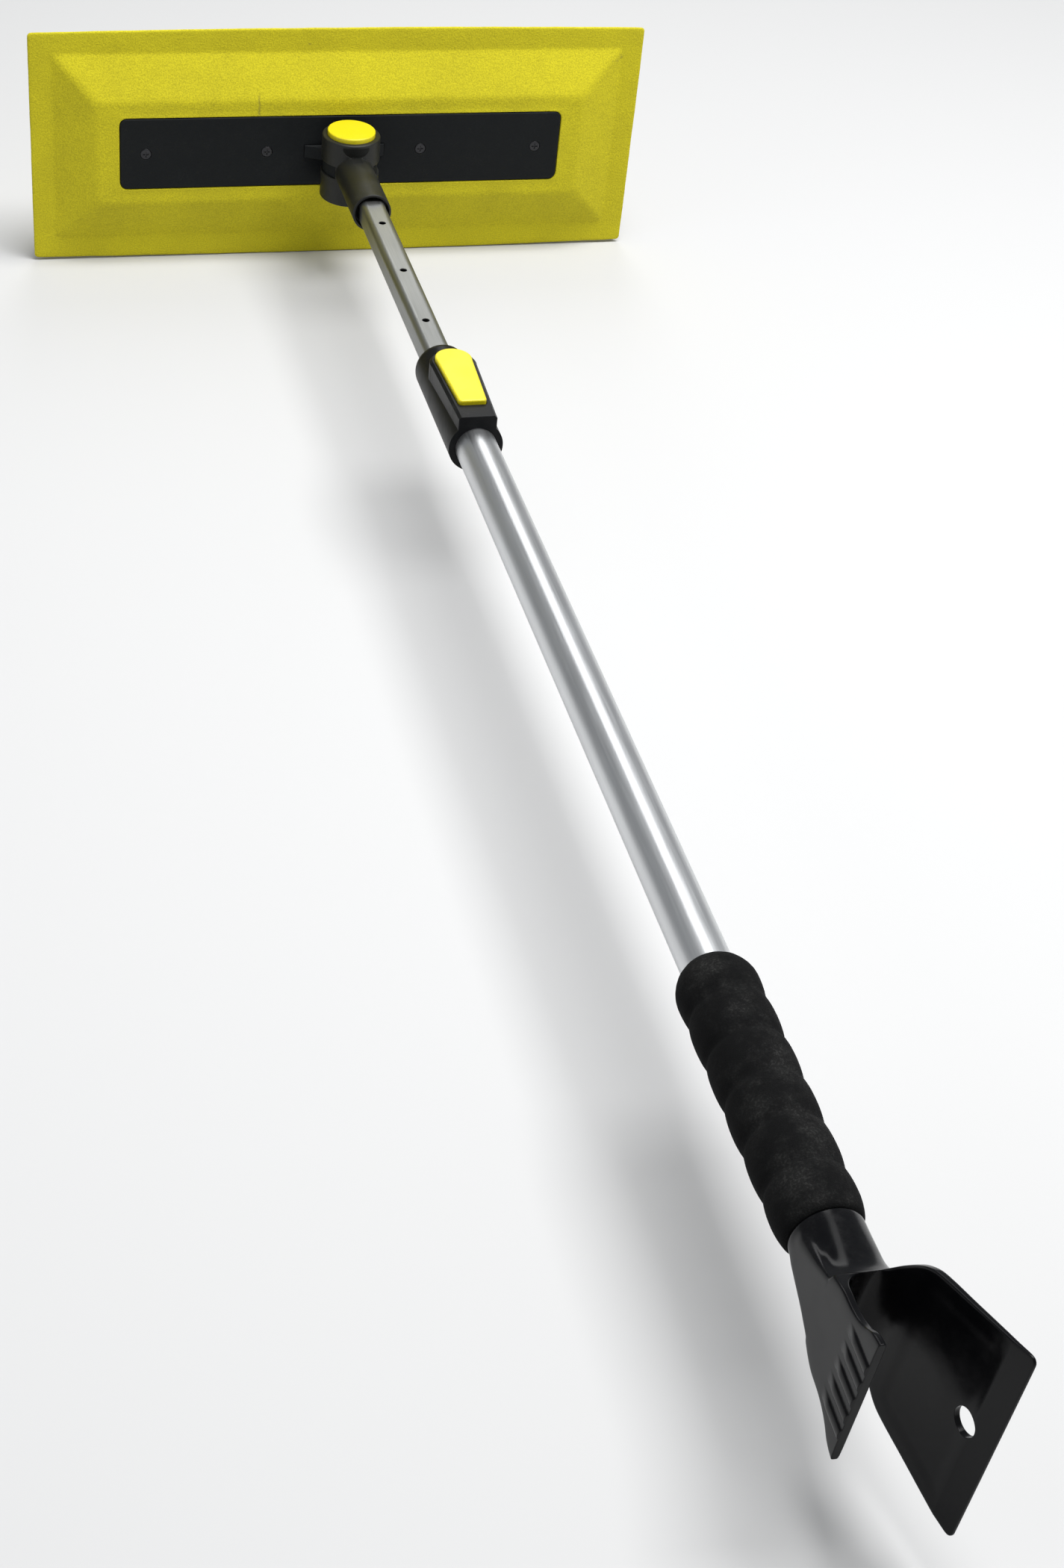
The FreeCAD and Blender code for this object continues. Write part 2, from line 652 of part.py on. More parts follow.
def long_blade():
    tip = BLADE_END
    half = BLADE_SHAPE[-1][1]
    profile = (
        (blade_in(BLADE_START), BLADE_START),
        (BEVEL_X, BEVEL_S),
        (BLADE_TIP_IN, tip),
        (BLADE_TIP_OUT, tip),
        (FLARE_RIGHT, FLARE_END + 12),
        (FLARE_RIGHT, BLADE_START),
    )
    blade = side_profile(profile, 70).common(outline(BLADE_SHAPE, -20, 60))
    corners = [
        e
        for e in blade.Edges
        if abs(e.CenterOfMass.y + tip) < 2 and abs(abs(e.CenterOfMass.z) - half) < 1 and e.Length < 4
    ]
    return blade.makeFillet(BLADE_CORNER, corners)


def dish():
    deep = DISH_DEPTH
    s0 = DISH_SHAPE[0][0]
    s1 = BEVEL_S
    profile = (
        (blade_in(s0) - 3, s0),
        (blade_in(s1) - 3, s1),
        (blade_in(s1) + 0.1, s1),
        (blade_in(s1 - 2.5) + deep, s1 - 2.5),
        (blade_in(s0 + 4) + deep, s0 + 4),
        (blade_in(s0), s0),
    )
    return side_profile(profile, 70).common(outline(DISH_SHAPE, -20, 60))


def root_slot():
    """Space between the two blades, round at its root."""
    mouth = ROOT_S + ROOT_REACH
    a = V(CHIP_IN, -BLADE_END - 20, -70)
    a1 = V(CHIP_IN, -CHIP_END, -70)
    b = V(ROOT_LEFT, -mouth, -70)
    middle = V(ROOT_X, -ROOT_S, -70)
    c = V(blade_in(mouth), -mouth, -70)
    d = V(BEVEL_X, -BEVEL_S, -70)
    e = V(BLADE_TIP_IN, -BLADE_END, -70)
    f = V(BLADE_TIP_IN, -BLADE_END - 20, -70)
    edges = [
        Part.makeLine(a, a1),
        Part.makeLine(a1, b),
        Part.Arc(b, middle, c).toShape(),
        Part.makeLine(c, d),
        Part.makeLine(d, e),
        Part.makeLine(e, f),
        Part.makeLine(f, a),
    ]
    return Part.Face(Part.Wire(edges)).extrude(V(0, 0, 140))


def scraper():
    steps = [flare_section(SOCKET_START, 0.0)]
    for k in range(FLARE_STEPS + 1):
        fraction = k / FLARE_STEPS
        steps.append(flare_section(FLARE_START + (FLARE_END - FLARE_START) * fraction, fraction))
    body = Part.makeLoft(steps, True, True)
    body = body.fuse(chipper())
    body = body.fuse(long_blade())
    body = body.cut(root_slot())
    body = body.cut(dish())
    sunk = RIDGE_R - RIDGE_RISE
    for k in range(RIDGE_COUNT):
        z = RIDGE_PITCH * (k - (RIDGE_COUNT - 1) / 2)
        start = V(chip_out(RIDGE_START) + sunk + 0.6, -RIDGE_START, z)
        end = V(CHIP_OUT + sunk, -CHIP_END, z)
        body = body.fuse(Part.makeCylinder(RIDGE_R, end.sub(start).Length, start, end.sub(start)))
        body = body.fuse(Part.makeSphere(RIDGE_R, start))
    trim = box(-60, 8, CHIP_END, CHIP_END + 6, -60, 60)
    body = body.cut(trim)
    lean = math.atan(BLADE_SLOPE)
    through = V(math.cos(lean), math.sin(lean), 0)
    body = body.cut(Part.makeCylinder(HANG_R, 20, V(blade_in(HANG_S), -HANG_S, 0) - through * 8, through))
    body = body.cut(rod_y(OUTER_R + FIT, SOCKET_START - 1, OUTER_END + 0.4))
    spigot = rod_y(SPIGOT_R, SPIGOT_START, OUTER_END + 1)
    body = body.fuse(spigot.cut(rod_y(SPIGOT_BORE, SPIGOT_START - 1, OUTER_END - 6)))
    body.rotate(V(0, 0, 0), V(0, 1, 0), ROLL)
    body = body.cut(rod_z(SCREW_R + FIT, -30, -8, 0, SCRAPER_SCREW_S))
    return body.cut(rod_z(COUNTERBORE_R, -30, -15.4, 0, SCRAPER_SCREW_S))


def scraper_screw():
    return pan_screw(V(0, -SCRAPER_SCREW_S, -15.4), V(0, 0, -1), 3.2, 1.6, SCREW_R, 5.0)


PIECES = {
    "foam_head": foam_head,
    "core_board": core_board,
    "backing_plate": backing_plate,
    "hub_bracket": hub_bracket,
    "neck_fork": neck_fork,
    "hub_floor": hub_floor,
    "neck_screw": neck_screw,
    "hub_button": hub_cap,
    "lock_gear": lock_gear,
    "gear_screw": gear_screw,
    "hub_spring": hub_spring,
    "inner_tube": inner_tube,
    "tail_glide": tail_glide,
    "outer_tube": outer_tube,
    "guide_bush": guide_bush,
    "latch_housing": latch_housing,
    "latch_button": latch_button,
    "lock_pin": lock_pin,
    "latch_axle": latch_axle,
    "latch_spring": latch_spring,
    "housing_screw": housing_screw,
    "foam_grip": foam_grip,
    "scraper": scraper,
    "scraper_screw": scraper_screw,
}

os.makedirs("parts", exist_ok=True)
for piece, make in PIECES.items():
    save(piece, make())
for index, screw_x in enumerate(SCREW_X):
    save("plate_screw_%d" % (index + 1), plate_screw(screw_x))
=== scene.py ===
import math

import bmesh
import bpy
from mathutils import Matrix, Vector, noise


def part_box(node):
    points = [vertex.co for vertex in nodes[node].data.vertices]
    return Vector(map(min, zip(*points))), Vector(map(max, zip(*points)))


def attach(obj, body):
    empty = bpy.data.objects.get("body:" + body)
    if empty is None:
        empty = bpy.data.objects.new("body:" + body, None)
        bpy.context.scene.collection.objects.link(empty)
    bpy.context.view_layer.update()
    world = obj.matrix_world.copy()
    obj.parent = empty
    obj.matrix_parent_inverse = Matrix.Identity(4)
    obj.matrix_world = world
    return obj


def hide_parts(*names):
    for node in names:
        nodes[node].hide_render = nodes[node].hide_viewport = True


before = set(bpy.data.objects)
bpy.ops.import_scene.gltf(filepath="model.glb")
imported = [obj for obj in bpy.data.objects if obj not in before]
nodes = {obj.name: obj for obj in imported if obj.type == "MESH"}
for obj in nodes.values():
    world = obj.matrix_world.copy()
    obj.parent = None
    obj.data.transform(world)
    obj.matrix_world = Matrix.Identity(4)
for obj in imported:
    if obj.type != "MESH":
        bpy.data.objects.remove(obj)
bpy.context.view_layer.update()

# ------------------------------------------------------------------ studio
# The tool is shown level, its foam head standing on a long edge on a pale floor,
# under a broad softbox overhead, with weaker ones behind it and on the left, and
# pale walls that add a little even light.
CAMERA_PLACE = (-0.3668, -1.1097, 0.8764)
CAMERA_TURN_DEG = (51.320, -5.361, -14.466)
CAMERA_LENS = 56.571
SENSOR_SIDE = 36.0
FLOOR_REACH = 9.0
FLOOR_COLOUR = (0.52, 0.52, 0.52, 1.0)
WALL_COLOUR = (0.94, 0.97, 1.0, 1.0)
WALL_LIGHT = 0.28

scene = bpy.context.scene
scene.view_settings.view_transform = "Standard"
camera_data = bpy.data.cameras.new("studio_camera")
camera_data.sensor_fit = "VERTICAL"
camera_data.sensor_height = SENSOR_SIDE
camera_data.sensor_width = SENSOR_SIDE
camera_data.lens = CAMERA_LENS
camera_data.clip_start = 0.01
camera_data.clip_end = 50.0
camera = bpy.data.objects.new("studio_camera", camera_data)
camera.location = CAMERA_PLACE
camera.rotation_euler = [math.radians(turn) for turn in CAMERA_TURN_DEG]
scene.collection.objects.link(camera)
scene.camera = camera

walls = bpy.data.worlds.new("studio_walls")
walls.use_nodes = True
wall_light = walls.node_tree.nodes["Background"]
wall_light.inputs["Color"].default_value = WALL_COLOUR
wall_light.inputs["Strength"].default_value = WALL_LIGHT
scene.world = walls


def softbox(name, place, aim, width, length, power, colour):
    """A rectangular area light at a place, facing a point."""
    lamp = bpy.data.lights.new(name, "AREA")
    lamp.shape = "RECTANGLE"
    lamp.size = width
    lamp.size_y = length
    lamp.energy = power
    lamp.color = colour
    holder = bpy.data.objects.new(name, lamp)
    holder.location = place
    holder.rotation_euler = (Vector(aim) - Vector(place)).to_track_quat("-Z", "Y").to_euler()
    scene.collection.objects.link(holder)


softbox(
    "softbox_above", place=(0.62, 0.0, 2.4), aim=(0.05, 0.05, 0.0),
    width=1.3, length=1.9, power=104.0, colour=(1.0, 1.0, 1.0),
)
softbox(
    "softbox_behind", place=(0.40, 2.6, 2.4), aim=(0.0, 0.4, 0.0),
    width=0.9, length=2.4, power=22.0, colour=(1.0, 1.0, 1.0),
)
softbox(
    "softbox_left", place=(-2.2, -0.5, 0.9), aim=(0.0, 0.1, 0.1),
    width=1.6, length=1.2, power=7.0, colour=(0.93, 0.96, 1.0),
)


def piece_from(name, bm):
    """Turns a bmesh into a smooth shaded object at the origin."""
    mesh = bpy.data.meshes.new(name)
    bm.to_mesh(mesh)
    bm.free()
    for face in mesh.polygons:
        face.use_smooth = True
    piece = bpy.data.objects.new(name, mesh)
    scene.collection.objects.link(piece)
    return piece


floor_bm = bmesh.new()
bmesh.ops.create_grid(floor_bm, x_segments=2, y_segments=2, size=FLOOR_REACH)
studio_floor = piece_from("studio_floor", floor_bm)
floor_paint = bpy.data.materials.new("floor_paint")
floor_paint.use_nodes = True
floor_shader = floor_paint.node_tree.nodes["Principled BSDF"]
floor_shader.inputs["Base Color"].default_value = FLOOR_COLOUR
floor_shader.inputs["Roughness"].default_value = 0.9
floor_shader.inputs["Specular IOR Level"].default_value = 0.1
studio_floor.data.materials.append(floor_paint)

# --------------------------------------------------------------- foam head
# Push head of yellow closed-cell foam, moulded in one piece: a flat rim round a
# raised centre with sloping sides, and a pocket that the backing plate sits in.
# The skin is pebbled, with a hairline split over the plate and a few scuffs; the split's dark line
# is painted shade in its groove.
head_low, head_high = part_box("foam_head")
plate_low, plate_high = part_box("backing_plate")
core_low, core_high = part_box("core_board")
HEAD_BOW = 0.0019
HEAD_CORNER = 0.0030
RIM_THICK = 0.0090
RIM_BAND_X = 0.0160
RIM_BAND_Z = 0.0154
TOP_HALF_W = 0.1820
TOP_HALF_H = 0.0385
TOP_CORNER = 0.0060
EDGE_ROUND = 0.0016
EDGE_TURNS_DEG = (0, 30, 60, 90)
# the rim's sides lean in this much towards the flat outer face
FRONT_DRAFT = 0.0034
LIP_RISE = 0.0004
POCKET_GAP = 0.0004
POCKET_CORNER = 0.0054
LONG_STEPS = 64
SHORT_STEPS = 26
CORNER_STEPS = 4
MERGE_DISTANCE = 0.000005
ROUNDING_LEVELS = 2
# rings across the flat outer face and across the rim, as shares of the way
OUTER_FACE_SHARES = (0.25, 0.5, 0.75, 0.94)
RIM_BAND_SHARES = (0.3, 0.6, 0.85)
# share of the way from the slope's foot to its top, and share of the rise
SLOPE = (
    (0.0, 0.0), (0.04, 0.025), (0.1, 0.085), (0.3, 0.29), (0.5, 0.5),
    (0.7, 0.71), (0.88, 0.9), (0.96, 0.975), (1.04, 1.0),
)
# share of the way from the slope's top to the plate, and share of the lip's rise
PLATE_LIP = ((0.4, 0.0), (0.7, 0.1), (0.9, 0.8), (0.97, 0.9), (1.0, 0.1))

centre_z = (head_low.z + head_high.z) / 2
half_w = head_high.x
half_h = (head_high.z - head_low.z) / 2
front = head_high.y
rim_back = front - RIM_THICK
top_back = head_low.y
foot_w = half_w - RIM_BAND_X
foot_h = half_h - HEAD_BOW - RIM_BAND_Z
pocket_w = plate_high.x + POCKET_GAP
pocket_h = (plate_high.z - plate_low.z) / 2 + POCKET_GAP
core_w = core_high.x + POCKET_GAP
core_h = (core_high.z - core_low.z) / 2 + POCKET_GAP


def between(a, b, share):
    """The value a share of the way from a to b."""
    return a + (b - a) * share


def ring_outline(wide, high, corner, bow):
    """Points (x, z) round a rectangle with round corners and bowed long sides."""
    points = []
    for side, (c, s) in enumerate(((1, 0), (0, 1), (-1, 0), (0, -1))):
        on_long = side % 2 == 0
        along, across = (wide, high) if on_long else (high, wide)
        steps = LONG_STEPS if on_long else SHORT_STEPS
        line = [((along - corner) * (1 - 2 * k / steps), across) for k in range(steps)]
        for k in range(CORNER_STEPS):
            turn = math.pi / 2 * k / CORNER_STEPS
            sunk = corner * (1 - math.cos(turn))
            line.append((corner - along - corner * math.sin(turn), across - sunk))
        points += [(c * a - s * b, s * a + c * b) for a, b in line]
    if bow:
        points = [(x, z - bow * (x / wide) ** 2 * z / high) for x, z in points]
    return points


def grow_ring(bm, ring, places):
    """Extrudes a closed ring of points to the next places; returns the new ring."""
    order = {vert: k for k, vert in enumerate(ring)}
    edges = [bm.edges.get((vert, ring[(k + 1) % len(ring)])) for k, vert in enumerate(ring)]
    made = bmesh.ops.extrude_edge_only(bm, edges=edges)["geom"]
    grown = [None] * len(ring)
    for vert in (item for item in made if isinstance(item, bmesh.types.BMVert)):
        for edge in vert.link_edges:
            if edge.other_vert(vert) in order:
                grown[order[edge.other_vert(vert)]] = vert
    for vert, place in zip(grown, places):
        vert.co = place
    return grown


def rings_solid(places_list):
    """A closed skin through rings of places, with a flattened ring at each end."""
    bm = bmesh.new()
    count = len(places_list[0])
    bmesh.ops.create_circle(bm, segments=count, radius=1.0)
    bm.verts.ensure_lookup_table()
    ring = list(bm.verts)
    for vert, place in zip(ring, places_list[0]):
        vert.co = place
    for places in places_list[1:]:
        ring = grow_ring(bm, ring, places)
    bmesh.ops.remove_doubles(bm, verts=bm.verts, dist=MERGE_DISTANCE)
    bmesh.ops.recalc_face_normals(bm, faces=bm.faces)
    return bm


head_rings = [(half_w - half_h, 0.0, 0.0, 0.0, front)]
for share in OUTER_FACE_SHARES:
    wide = half_w - half_h * (1 - share)
    head_rings.append((wide, half_h * share, HEAD_CORNER * share, HEAD_BOW * share, front))
edge_turns = [(turn, front, -1) for turn in EDGE_TURNS_DEG]
edge_turns += [(turn, rim_back, 1) for turn in reversed(EDGE_TURNS_DEG)]
for turn, level, way in edge_turns:
    inset = EDGE_ROUND * (1 - math.sin(math.radians(turn)))
    drop = EDGE_ROUND * (1 - math.cos(math.radians(turn)))
    if level == front:
        inset += FRONT_DRAFT
    level += way * drop
    head_rings.append((half_w - inset, half_h - inset, HEAD_CORNER, HEAD_BOW, level))
for share in RIM_BAND_SHARES:
    wide, high = half_w - RIM_BAND_X * share, between(half_h, foot_h, share)
    head_rings.append((wide, high, HEAD_CORNER, HEAD_BOW * (1 - share), rim_back))
for share, rise in SLOPE:
    wide, high = between(foot_w, TOP_HALF_W, share), between(foot_h, TOP_HALF_H, share)
    corner, level = between(HEAD_CORNER, TOP_CORNER, share), between(rim_back, top_back, rise)
    head_rings.append((wide, high, corner, 0.0, level))
for share, rise in PLATE_LIP:
    wide, high = between(TOP_HALF_W, pocket_w, share), between(TOP_HALF_H, pocket_h, share)
    head_rings.append((wide, high, POCKET_CORNER, 0.0, top_back - LIP_RISE * rise))
head_rings.append((pocket_w, pocket_h, POCKET_CORNER, 0.0, top_back + EDGE_ROUND / 2))
head_rings.append((pocket_w, pocket_h, POCKET_CORNER, 0.0, plate_high.y))
head_rings.append((core_w, core_h, HEAD_CORNER, 0.0, plate_high.y + POCKET_GAP))
head_rings.append((core_w, core_h, HEAD_CORNER, 0.0, core_high.y + POCKET_GAP))
head_rings.append((core_w - core_h, 0.0, 0.0, 0.0, core_high.y + POCKET_GAP))

head_places = [
    [(x, level, centre_z + z) for x, z in ring_outline(wide, high, corner, bow)]
    for wide, high, corner, bow, level in head_rings
]


def rounded_off(name, rough_bm):
    """Subdivides a rough bmesh into a smooth one; returns the smooth one."""
    rough = piece_from(name, rough_bm)
    rounding = rough.modifiers.new("rounding", "SUBSURF")
    rounding.levels = ROUNDING_LEVELS
    rounding.render_levels = ROUNDING_LEVELS
    smooth_bm = bmesh.new()
    smooth_bm.from_object(rough, bpy.context.evaluated_depsgraph_get())
    bpy.data.objects.remove(rough)
    return smooth_bm


head_bm = rounded_off("rough_head", rings_solid(head_places))

# the skin of a foam moulding is never quite flat, and calmer in the pocket
SKIN_WAVES = ((38.0, 0.00022), (120.0, 0.00010), (330.0, 0.00004))
SKIN_SHIFT = Vector((7.3, 1.9, 4.1))
SKIN_SINK = SKIN_WAVES[0][1] * 0.6
POCKET_CALM = 0.3
for vert in head_bm.verts:
    if vert.co.y < rim_back + RIM_THICK / 2:
        lift = sum(noise.noise(vert.co * rate + SKIN_SHIFT) * height for rate, height in SKIN_WAVES)
        in_width = abs(vert.co.x) < pocket_w + POCKET_GAP
        in_height = abs(vert.co.z - centre_z) < pocket_h + POCKET_GAP
        calm = POCKET_CALM if in_width and in_height else 1.0
        vert.co += vert.normal * (lift * calm - SKIN_SINK)
foam_pad = piece_from("foam_pad", head_bm)


def shader_group(name, inputs, outputs):
    """An empty shader node group with named sockets; returns it with its two ends."""
    group = bpy.data.node_groups.new(name, "ShaderNodeTree")
    for label, kind, value in inputs:
        socket = group.interface.new_socket(name=label, in_out="INPUT", socket_type=kind)
        if value is not None:
            socket.default_value = value
    for label, kind in outputs:
        group.interface.new_socket(name=label, in_out="OUTPUT", socket_type=kind)
    return group, group.nodes.new("NodeGroupInput"), group.nodes.new("NodeGroupOutput")


def feed(tree, socket, value):
    """Links another node's output to a socket, or sets the socket to a plain value."""
    if isinstance(value, bpy.types.NodeSocket):
        tree.links.new(value, socket)
    else:
        socket.default_value = value


def put(tree, kind, settings=None, **sockets):
    """A node with its settings, and with its input sockets set or linked by name."""
    node = tree.nodes.new(kind)
    for label, value in (settings or {}).items():
        setattr(node, label, value)
    for label, value in sockets.items():
        feed(tree, node.inputs[label.replace("_", " ")], value)
    return node


def sums(tree, operation, first, second=0.0, third=0.0):
    """A maths node; returns its result."""
    node = tree.nodes.new("ShaderNodeMath")
    node.operation = operation
    for socket, value in zip(node.inputs, (first, second, third)):
        feed(tree, socket, value)
    return node.outputs[0]


def ramp(tree, value, low, high, start=0.0, end=1.0):
    """A value mapped softly from one range to another."""
    node = put(
        tree, "ShaderNodeMapRange", {"interpolation_type": "SMOOTHSTEP"},
        Value=value, From_Min=low, From_Max=high, To_Min=start, To_Max=end,
    )
    return node.outputs[0]


def blend_colour(tree, share, first, second, mode="MIX"):
    """Two colours mixed by a share; a Mix node's colours are inputs 6 and 7 and output 2."""
    node = tree.nodes.new("ShaderNodeMix")
    node.data_type = "RGBA"
    node.blend_type = mode
    feed(tree, node.inputs[0], share)
    for index, colour in ((6, first), (7, second)):
        linked = isinstance(colour, bpy.types.NodeSocket)
        feed(tree, node.inputs[index], colour if linked else (*colour, 1.0))
    return node.outputs[2]


def bare_finish(name, roughness, specular=0.5, metallic=0.0):
    """A material with one shader, and the place on the piece; returns what gets wired up."""
    material = bpy.data.materials.new(name)
    material.use_nodes = True
    tree = material.node_tree
    shader = tree.nodes["Principled BSDF"]
    shader.inputs["Roughness"].default_value = roughness
    shader.inputs["Specular IOR Level"].default_value = specular
    shader.inputs["Metallic"].default_value = metallic
    place = tree.nodes.new("ShaderNodeTexCoord").outputs["Object"]
    return material, tree, shader, place


def group_node(tree, group, **sockets):
    """A shader node group placed in a material, with its sockets set or linked by name."""
    return put(tree, "ShaderNodeGroup", {"node_tree": group}, **sockets)


# Pebbled skin: rounded cells with finer grain on them, at a given number per metre.
CELL_HEIGHT = -0.9
GRAIN_HEIGHT = 0.7
GRAIN_RATE = 1.9
pebbled_skin, skin_in, skin_out = shader_group(
    "pebbled_skin",
    (("Place", "NodeSocketVector", None), ("Cells", "NodeSocketFloat", 700.0)),
    (("Height", "NodeSocketFloat"), ("Speckle", "NodeSocketFloat")),
)
skin_cells = put(
    pebbled_skin, "ShaderNodeTexVoronoi", {"feature": "SMOOTH_F1"},
    Vector=skin_in.outputs["Place"], Scale=skin_in.outputs["Cells"], Smoothness=0.6,
)
fine_rate = sums(pebbled_skin, "MULTIPLY", skin_in.outputs["Cells"], GRAIN_RATE)
skin_grain = put(
    pebbled_skin, "ShaderNodeTexNoise",
    Vector=skin_in.outputs["Place"], Scale=fine_rate, Detail=3.0,
)
cell_height = sums(pebbled_skin, "MULTIPLY", skin_cells.outputs["Distance"], CELL_HEIGHT)
skin_height = sums(pebbled_skin, "MULTIPLY_ADD", skin_grain.outputs[0], GRAIN_HEIGHT, cell_height)
pebbled_skin.links.new(skin_height, skin_out.inputs["Height"])
pebbled_skin.links.new(skin_grain.outputs[0], skin_out.inputs["Speckle"])

FOAM_YELLOW = (0.56, 0.495, 0.012)
FOAM_SHADE = (0.49, 0.43, 0.012)
FOAM_GRIME_AND_SPLIT_SHADE = (0.20, 0.17, 0.03)
FOAM_CELLS = 620.0
# the hairline split: its place, and how far it wanders and fades out
SPLIT_X = -0.0640
SPLIT_LOW = 0.1180
SPLIT_HIGH = 0.1345
SPLIT_WANDER = 0.0034
SPLIT_FADE_LOW = 0.002
SPLIT_FADE_HIGH = 0.006
SPLIT_DEPTH = -1.2
foam_finish, tree, shader, place = bare_finish("yellow_foam", 0.78, 0.25)
skin = group_node(tree, pebbled_skin, Place=place, Cells=FOAM_CELLS)
clouds = put(tree, "ShaderNodeTexNoise", Vector=place, Scale=26.0, Detail=4.0)
foam_tone = ramp(tree, clouds.outputs[0], 0.35, 0.68, 0.0, 0.55)
foam_colour = blend_colour(tree, foam_tone, FOAM_YELLOW, FOAM_SHADE)
speckle = ramp(tree, skin.outputs["Speckle"], 0.36, 0.62, 0.80, 1.06)
speckle_colour = put(tree, "ShaderNodeCombineColor", Red=speckle, Green=speckle, Blue=speckle)
foam_colour = blend_colour(tree, 1.0, foam_colour, speckle_colour.outputs[0], "MULTIPLY")
marks = put(tree, "ShaderNodeTexNoise", Vector=place, Scale=62.0, Detail=5.0, Roughness=0.6)
mark_share = ramp(tree, marks.outputs[0], 0.70, 0.78, 0.0, 0.55)
axes = put(tree, "ShaderNodeSeparateXYZ", Vector=place)
wander = put(tree, "ShaderNodeTexNoise", Vector=place, Scale=160.0, Detail=1.0)
split_line = sums(tree, "MULTIPLY_ADD", wander.outputs[0], SPLIT_WANDER, SPLIT_X - SPLIT_WANDER / 2)
split_off = sums(tree, "ABSOLUTE", sums(tree, "SUBTRACT", axes.outputs["X"], split_line))
split_share = ramp(tree, split_off, 0.0002, 0.0012, 1.0, 0.0)
split_low = ramp(tree, axes.outputs["Z"], SPLIT_LOW - SPLIT_FADE_LOW, SPLIT_LOW)
split_high = ramp(tree, axes.outputs["Z"], SPLIT_HIGH - SPLIT_FADE_HIGH, SPLIT_HIGH, 1.0, 0.0)
split_share = sums(tree, "MULTIPLY", split_share, sums(tree, "MULTIPLY", split_low, split_high))
# scuffs darken the foam's own colour; the split is darkened at half strength as painted shade
# inside its bumped-in groove
grime_and_split_shade = sums(tree, "MAXIMUM", mark_share, sums(tree, "MULTIPLY", split_share, 0.5))
foam_colour = blend_colour(tree, grime_and_split_shade, foam_colour, FOAM_GRIME_AND_SPLIT_SHADE)
tree.links.new(foam_colour, shader.inputs["Base Color"])
foam_height = sums(tree, "MULTIPLY_ADD", split_share, SPLIT_DEPTH, skin.outputs["Height"])
foam_bump = put(tree, "ShaderNodeBump", Height=foam_height, Strength=0.55, Distance=0.00035)
tree.links.new(foam_bump.outputs[0], shader.inputs["Normal"])
foam_pad.data.materials.append(foam_finish)
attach(foam_pad, "head")
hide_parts("foam_head")

# --------------------------------------------- core board, plate and bracket
# A hidden board in the foam carries the load. The backing plate is a fine grained
# black moulding screwed to it, and the bracket with the pivot lug stands through it.
# Grain, worn edges and settled dust are the same on every black moulding.
WORN_WIDTH = 0.0006
edge_wear, wear_in, wear_out = shader_group(
    "edge_wear",
    (("Place", "NodeSocketVector", None), ("Width", "NodeSocketFloat", WORN_WIDTH)),
    (("Mask", "NodeSocketFloat"), ("Normal", "NodeSocketVector")),
)
round_normal = put(edge_wear, "ShaderNodeBevel", {"samples": 4}, Radius=wear_in.outputs["Width"])
flat_normal = put(edge_wear, "ShaderNodeNewGeometry").outputs["Normal"]
meeting = put(edge_wear, "ShaderNodeVectorMath", {"operation": "DOT_PRODUCT"})
edge_wear.links.new(round_normal.outputs[0], meeting.inputs[0])
edge_wear.links.new(flat_normal, meeting.inputs[1])
on_edge = ramp(edge_wear, meeting.outputs["Value"], 0.97, 0.80)
worn_patch = put(
    edge_wear, "ShaderNodeTexNoise", Vector=wear_in.outputs["Place"], Scale=240.0, Detail=4.0,
)
worn_share = ramp(edge_wear, worn_patch.outputs[0], 0.40, 0.62)
edge_wear.links.new(sums(edge_wear, "MULTIPLY", on_edge, worn_share), wear_out.inputs["Mask"])
edge_wear.links.new(round_normal.outputs[0], wear_out.inputs["Normal"])

settled_dust, dust_in, dust_out = shader_group(
    "settled_dust",
    (("Place", "NodeSocketVector", None), ("Amount", "NodeSocketFloat", 0.2)),
    (("Mask", "NodeSocketFloat"), ("Smear", "NodeSocketFloat")),
)
dust_place = dust_in.outputs["Place"]
dust_patch = put(
    settled_dust, "ShaderNodeTexNoise", Vector=dust_place, Scale=45.0, Detail=6.0, Roughness=0.7,
)
dust_speck = put(settled_dust, "ShaderNodeTexNoise", Vector=dust_place, Scale=900.0, Detail=2.0)
dusty_face = put(settled_dust, "ShaderNodeNewGeometry").outputs["Normal"]
facing = put(settled_dust, "ShaderNodeSeparateXYZ", Vector=dusty_face)
upward = ramp(settled_dust, facing.outputs["Z"], 0.0, 1.0, 0.25, 1.0)
patch_share = ramp(settled_dust, dust_patch.outputs[0], 0.42, 0.70)
speck_share = ramp(settled_dust, dust_speck.outputs[0], 0.48, 0.66, 0.35, 1.0)
dust_share = sums(settled_dust, "MULTIPLY", patch_share, speck_share)
dust_share = sums(settled_dust, "MULTIPLY", dust_share, upward)
dust_mask = sums(settled_dust, "MULTIPLY", dust_share, dust_in.outputs["Amount"])
settled_dust.links.new(dust_mask, dust_out.inputs["Mask"])
settled_dust.links.new(patch_share, dust_out.inputs["Smear"])

DUST_GREY = (0.20, 0.20, 0.19)
DUST_DULLS = 0.10


